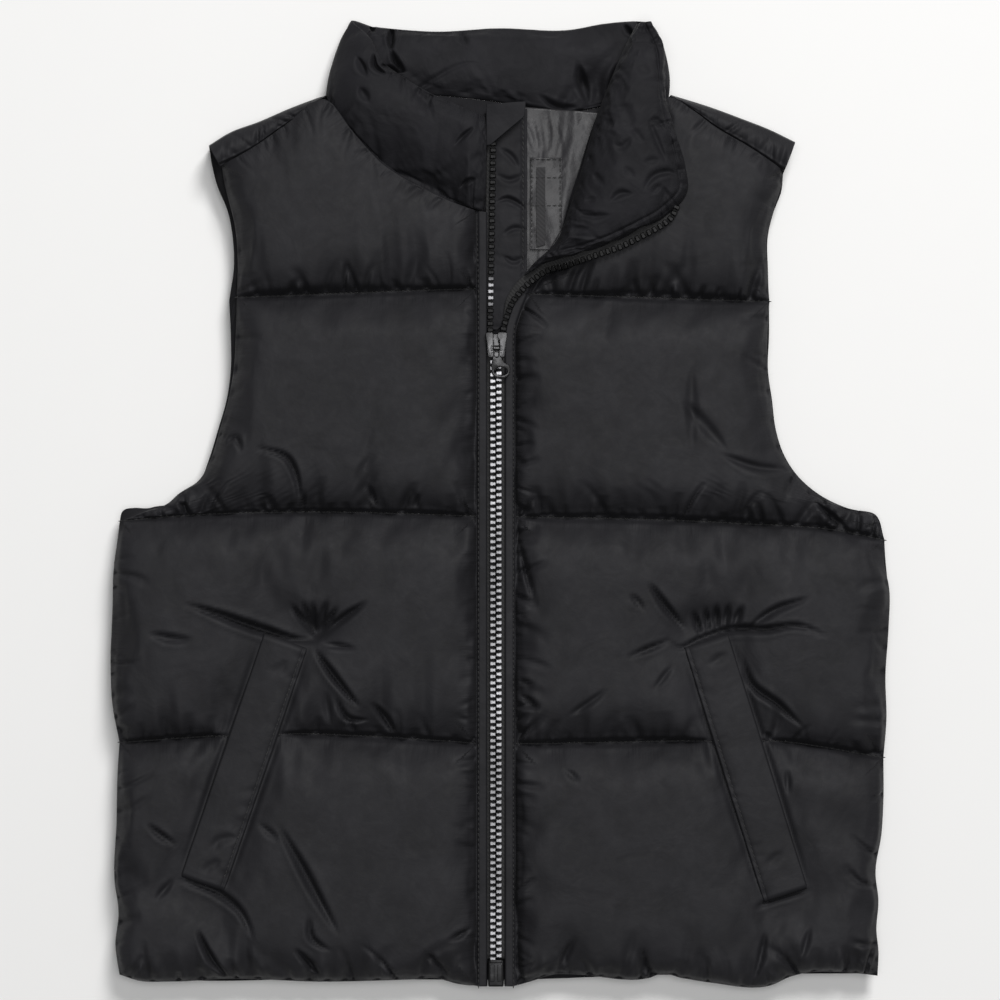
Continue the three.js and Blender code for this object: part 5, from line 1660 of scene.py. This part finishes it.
class VEST_OT_zip(bpy.types.Operator):
    """Build the zip: tapes, teeth, box, slider and pull tab"""

    bl_idname = "vest.zip"
    bl_label = "Zip"

    def execute(self, context):
        sizes = context.scene.vest_sizes
        self.teeth(sizes.tooth_pitch / MM)
        self.tapes()
        self.box()
        self.slider()
        self.tab()
        return {"FINISHED"}

    def left_path(self):
        """The turned back half's line, level with the other half or lying over the front."""
        shares = np.linspace(0, 1, 260)
        flat = spline_open(LEFT_ROW, shares)
        surface = surface_tree(bpy.data.objects["front_left_shell"])
        under = heights_at(surface, flat, FRONT_BASE + SEAM)
        wide = np.array([under[max(0, i - 6): i + 7].max() for i in range(len(under))])
        lift = smooth(flat[:, 1], 92, 118)
        over = TEETH_Z * (1 - lift) + np.maximum(wide + 1.6, TEETH_Z) * lift
        level = np.where(flat[:, 1] < 92, TEETH_Z, over)
        kernel = np.ones(9) / 9
        level = np.convolve(np.pad(level, 4, mode="edge"), kernel, mode="valid")
        return np.concatenate([flat, level[:, None]], -1)

    def right_path(self, count, level):
        flat = spline_open(RIGHT_ROW, np.linspace(0, 1, count))
        return np.concatenate([flat, np.full((count, 1), level)], -1)

    def teeth(self, pitch):
        left = self.left_path()
        left = left[arc_shares(left) * length_of(left) >= pitch / 2]
        for node, line, way in (("zip_teeth_right", self.right_path(200, TEETH_Z), 1),
                                ("zip_teeth_left", left, -1)):
            made = repeat(node + "_row", [line], tooth_shape(way), pitch, material("teeth"))
            settle(shade(made, material("teeth"), False), [node])

    def tapes(self):
        left = self.left_path()
        left[:, 2] -= TEETH_Z - TAPE_TOP
        for node, line, way, width in (("zip_tape_right", self.right_path(160, TAPE_TOP), -1, 0.0045),
                                       ("zip_tape_left", left, 1, 0.0052)):
            step = np.gradient(line[:, :2], axis=0)
            step /= np.linalg.norm(step, axis=1, keepdims=True)
            side = np.stack([step[:, 1], -step[:, 0]], -1) * way
            turned = smooth(line[:, 1], 92, 116) if way == 1 else np.zeros(len(line))
            outer = 3.4 * (1 - turned) + 1.2 * turned
            inner = -1.0 * (1 - turned) - 5.0 * turned
            shares = np.linspace(0, 1, 9)[None, :]
            offset = inner[:, None] + (outer - inner)[:, None] * shares
            places = line[:, None, :2] + side[:, None] * offset[..., None]
            level = np.broadcast_to(line[:, 2:3], offset.shape)
            grid = np.concatenate([places, level[..., None]], -1)[:, ::way]
            made = shade(new_object(node + "_cloth", *strip_parts(grid, 0.9)), material("tape"))
            face_out(made)
            settle(made, [node])

    def box(self):
        """The box at the foot of the zip with the pin's sleeve in it."""
        parts = [rounded_box((ZIP_X, -254.0, 20.8), (8.4, 14.4, 6.4), 1.1),
                 rounded_box((ZIP_X, -247.6, 22.9), (6.6, 1.8, 3.0), 0.5),
                 rounded_box((ZIP_X - 2.0, -253.8, 24.2), (2.4, 9.0, 0.7), 0.3),
                 rounded_box((ZIP_X + 2.0, -253.8, 24.2), (2.4, 9.0, 0.7), 0.3)]
        vertices, faces = joined(parts)
        made = shade(face_out(new_object("zip_box_moulding", vertices, faces)), material("box"))
        settle(made, ["zip_box"])

    def slider(self):
        """The slider: two arms over the teeth that meet in a body, a plate under them, and the crown."""
        x, pin_y, _ = PIN
        low, high = 77.2, 90.7
        base = TEETH_Z + TEETH_HEIGHT + 0.1
        left = [(-3.4, low), (0.0, low), (0.0, low + 2.6), (-1.3, low + 4.2), (-1.75, low + 6.5),
                (-1.75, high - 0.6), (-2.3, high), (-5.1, high), (-5.8, high - 0.6), (-5.8, high - 1.6),
                (-4.7, low + 5.5), (-4.0, low + 2.0)]
        right = [(0.0, low), (3.4, low), (4.0, low + 2.0), (4.7, low + 5.5), (5.8, high - 1.6),
                 (5.8, high - 0.6), (5.1, high), (1.3, high), (0.6, high - 0.6), (0.5, high - 2.6),
                 (1.7, high - 4.4), (1.75, low + 6.0), (1.3, low + 4.2), (0.0, low + 2.6)]
        parts = [prism([(x + u, v) for u, v in half], base, base + 1.9, 0.5) for half in (left, right)]
        parts.append(rounded_box((ZIP_X, (low + high) / 2, 17.9), (7.0, high - low - 1.5, 0.9), 0.2))
        parts.append(rounded_box((x, low + 1.6, base + 1.0), (6.4, 2.8, 2.0), 0.5))
        for way in (-1, 1):
            flange = [(x + way * u, v) for u, v in ((3.3, low + 0.4), (4.1, low + 0.4), (5.8, high - 2.2),
                                                   (5.8, high - 0.8), (4.9, high - 0.8), (4.6, high - 4.0))]
            parts.append(prism(flange if way > 0 else flange[::-1], 19.6, base + 0.4, 0.15))
            parts.append(rounded_box((x + way * 2.5, pin_y, base + 2.6), (1.1, 2.9, 4.2), 0.45))
        parts.append(cylinder(PIN, 0.55, 4.6))
        vertices, faces = joined(parts)
        made = shade(face_out(new_object("zip_slider_body", vertices, faces)), material("metal"))
        smooth_by_angle(made)
        settle(made, ["zip_slider"])

    def tab(self):
        """The pull tab, hung on the crown's pin: two arms that run down to a ring."""
        west = [(-1.7, 0.6), (-1.7, -3.6), (-2.2, -5.8), (-2.7, -9.0)]
        east = [(3.9, -7.6), (3.0, -5.8), (1.75, -3.6), (1.7, 0.6)]
        centre, radius = np.array([2.3, -11.7]), 5.1
        ring = [tuple(centre + radius * np.array([math.cos(a), math.sin(a)]))
                for a in np.linspace(math.pi, 2 * math.pi + 0.5, 26)]
        outline = west + ring + east
        slot_hole = [(math.cos(a) * 1.15, -3.1 + math.sin(a) * 2.1) for a in
                     np.linspace(0, 2 * math.pi, 14, endpoint=False)]
        ring_hole = [(2.4 + 3.6 * math.cos(a), -12.6 + 2.3 * math.sin(a)) for a in
                     np.linspace(0, 2 * math.pi, 26, endpoint=False)]
        plate = pierced_plate("pull_tab_plate", outline, [slot_hole, ring_hole], 1.3)
        eye = new_object("pull_tab_eye", *ring_tube(0.8, 1.45, 3.1))
        merged = join_objects("pull_tab_metal", [plate, eye])
        angle = math.radians(TAB_SLOPE)
        co = np.empty(len(merged.data.vertices) * 3)
        merged.data.vertices.foreach_get("co", co)
        co = co.reshape(-1, 3) / MM
        turned = co.copy()
        turned[:, 1] = co[:, 1] * math.cos(angle) - co[:, 2] * math.sin(angle)
        turned[:, 2] = co[:, 1] * math.sin(angle) + co[:, 2] * math.cos(angle)
        merged.data.vertices.foreach_set("co", ((turned + np.array(PIN)) * MM).ravel())
        merged.data.update()
        shade(merged, material("metal"))
        face_out(merged)
        smooth_by_angle(merged)
        settle(merged, ["pull_tab"], TAB_BODY)


def spline_open(points, shares):
    """A curve through points that stays straight on long straight stretches."""
    return along(points, shares) * 0.4 + spline_limited(points, shares) * 0.6


def spline_limited(points, shares):
    fine = [points[0]]
    for a, b in zip(points[:-1], points[1:]):
        size = np.linalg.norm(b - a)
        if size > 40:
            fine += [a + (b - a) * 0.02, a + (b - a) * 0.98]
        fine.append(b)
    return spline(np.array(fine), shares)


def smooth_by_angle(made, degrees=35):
    """Smooth shading that stays sharp at edges steeper than an angle."""
    built = bmesh.new()
    built.from_mesh(made.data)
    limit = math.radians(degrees)
    for edge in built.edges:
        edge.smooth = not (edge.is_manifold and edge.calc_face_angle(0) > limit)
    built.to_mesh(made.data)
    built.free()


def rounded_box(centre, size, bevel):
    built = bmesh.new()
    bmesh.ops.create_cube(built, size=1)
    for vertex in built.verts:
        vertex.co = Vector([c + s * v for c, s, v in zip(centre, size, vertex.co)])
    bmesh.ops.bevel(built, geom=list(built.edges), offset=bevel, segments=3, profile=0.6, affect="EDGES")
    return taken(built)


def taken(built):
    built.verts.index_update()
    vertices = np.array([tuple(v.co) for v in built.verts])
    faces = [tuple(v.index for v in face.verts) for face in built.faces]
    built.free()
    return vertices, faces


def prism(outline, low, high, bevel):
    built = bmesh.new()
    ring = [built.verts.new((x, y, low)) for x, y in outline]
    face = built.faces.new(ring)
    moved = bmesh.ops.extrude_face_region(built, geom=[face])["geom"]
    for vertex in [v for v in moved if isinstance(v, bmesh.types.BMVert)]:
        vertex.co.z = high
    bmesh.ops.recalc_face_normals(built, faces=built.faces)
    if bevel:
        edges = [edge for edge in built.edges
                 if abs(edge.verts[0].co.z - edge.verts[1].co.z) < 1e-6 and edge.verts[0].co.z > low]
        bmesh.ops.bevel(built, geom=edges, offset=bevel, segments=3, profile=0.6, affect="EDGES")
    return taken(built)


def cylinder(centre, radius, length):
    """A pin along X."""
    built = bmesh.new()
    bmesh.ops.create_cone(built, cap_ends=True, segments=20, radius1=radius, radius2=radius, depth=length)
    for vertex in built.verts:
        x, y, z = vertex.co
        vertex.co = Vector((centre[0] + z, centre[1] + y, centre[2] + x))
    return taken(built)


def ring_tube(inner, outer, length):
    """The eye of the tab round the pin, along X."""
    sides = 24
    half = length / 2
    profile = [(inner, -half), (outer - 0.2, -half), (outer, -half + 0.2), (outer, half - 0.2),
               (outer - 0.2, half), (inner, half)]
    vertices, faces = [], []
    for i in range(sides):
        angle = 2 * math.pi * i / sides
        vertices += [(x, r * math.cos(angle), r * math.sin(angle)) for r, x in profile]
    size = len(profile)
    for i in range(sides):
        j = (i + 1) % sides
        for k in range(size):
            m = (k + 1) % size
            faces.append((i * size + k, j * size + k, j * size + m, i * size + m))
    return np.array(vertices), faces


def pierced_plate(name, outline, holes, thickness):
    """A plate in the XY plane with holes, rounded along its edges."""
    curve = bpy.data.curves.new(name, "CURVE")
    curve.dimensions = "2D"
    curve.fill_mode = "BOTH"
    curve.extrude = (thickness / 2 - 0.3) * MM
    curve.bevel_depth = 0.3 * MM
    curve.bevel_resolution = 2
    curve.offset = -0.3 * MM
    for ring in [outline] + holes:
        path = curve.splines.new("POLY")
        path.points.add(len(ring) - 1)
        for point, (x, y) in zip(path.points, ring):
            point.co = (x * MM, y * MM, 0, 1)
        path.use_cyclic_u = True
    source = bpy.data.objects.new(name + "_curve", curve)
    bpy.context.scene.collection.objects.link(source)
    depsgraph = bpy.context.evaluated_depsgraph_get()
    mesh = bpy.data.meshes.new_from_object(source.evaluated_get(depsgraph))
    bpy.data.objects.remove(source)
    made = bpy.data.objects.new(name, mesh)
    bpy.context.scene.collection.objects.link(made)
    return face_out(made, merge=0.02)


def join_objects(name, objects):
    parts = []
    for made in objects:
        vertices = np.array([tuple(v.co) for v in made.data.vertices]) / MM
        parts.append((vertices, [tuple(p.vertices) for p in made.data.polygons]))
    for made in objects:
        bpy.data.objects.remove(made)
    vertices, faces = joined(parts)
    return new_object(name, vertices, faces)


# Floor, light and camera


class VEST_OT_stage(bpy.types.Operator):
    """Build the floor, the lights and the camera"""

    bl_idname = "vest.stage"
    bl_label = "Stage"

    def execute(self, context):
        scene = context.scene
        size = 4000
        floor = new_object("floor", [(-size, -size, -0.3), (size, -size, -0.3), (size, size, -0.3),
                                     (-size, size, -0.3)], [(0, 1, 2, 3)])
        shade(floor, material("floor"), False)
        self.light("key", (0.8, 1.9, 2.6), 1.0, 71.0, (1.0, 0.99, 0.98))
        self.light("top", (0.1, 0.1, 3.4), 1.4, 46.0, (1.0, 1.0, 1.0))
        world = bpy.data.worlds.new("studio")
        scene.world = world
        world.use_nodes = True
        world.node_tree.nodes["Background"].inputs["Color"].default_value = (1, 1, 1, 1)
        world.node_tree.nodes["Background"].inputs["Strength"].default_value = 0.12
        lens = bpy.data.cameras.new("camera")
        lens.lens = 150
        lens.sensor_width = 36
        lens.clip_end = 20
        width = 0.54
        eye = bpy.data.objects.new("camera", lens)
        eye.location = (0.0, 0.00054, width * lens.lens / lens.sensor_width + 0.014)
        scene.collection.objects.link(eye)
        scene.camera = eye
        scene.view_settings.view_transform = "Standard"
        return {"FINISHED"}

    def light(self, name, place, size, power, colour):
        lamp = bpy.data.lights.new(name, "AREA")
        lamp.shape = "SQUARE"
        lamp.size = size
        lamp.energy = power
        lamp.color = colour
        made = bpy.data.objects.new(name, lamp)
        made.location = place
        made.rotation_euler = Vector(place).to_track_quat("Z", "Y").to_euler()
        bpy.context.scene.collection.objects.link(made)


class VEST_PT_build(bpy.types.Panel):
    """Lists the steps that build the vest"""

    bl_idname = "VEST_PT_build"
    bl_label = "Puffer vest"
    bl_space_type = "VIEW_3D"
    bl_region_type = "UI"
    bl_category = "Vest"

    def draw(self, context):
        for step in STEPS:
            self.layout.operator(step.bl_idname)
        for group in (context.scene.vest_sizes, context.scene.vest_colours):
            for name in group.__annotations__:
                self.layout.prop(group, name)


STEPS = (VEST_OT_stage, VEST_OT_fronts, VEST_OT_back, VEST_OT_collar, VEST_OT_lapel, VEST_OT_welts,
         VEST_OT_neck, VEST_OT_zip)
CLASSES = (VestSizes, VestColours, *STEPS, VEST_PT_build)


def register():
    for made in CLASSES:
        bpy.utils.register_class(made)
    bpy.types.Scene.vest_sizes = bpy.props.PointerProperty(type=VestSizes)
    bpy.types.Scene.vest_colours = bpy.props.PointerProperty(type=VestColours)


def unregister():
    del bpy.types.Scene.vest_colours
    del bpy.types.Scene.vest_sizes
    for made in reversed(CLASSES):
        bpy.utils.unregister_class(made)


def main():
    register()
    for step in STEPS:
        group, name = step.bl_idname.split(".")
        getattr(getattr(bpy.ops, group), name)()


if __name__ == "__main__":
    main()
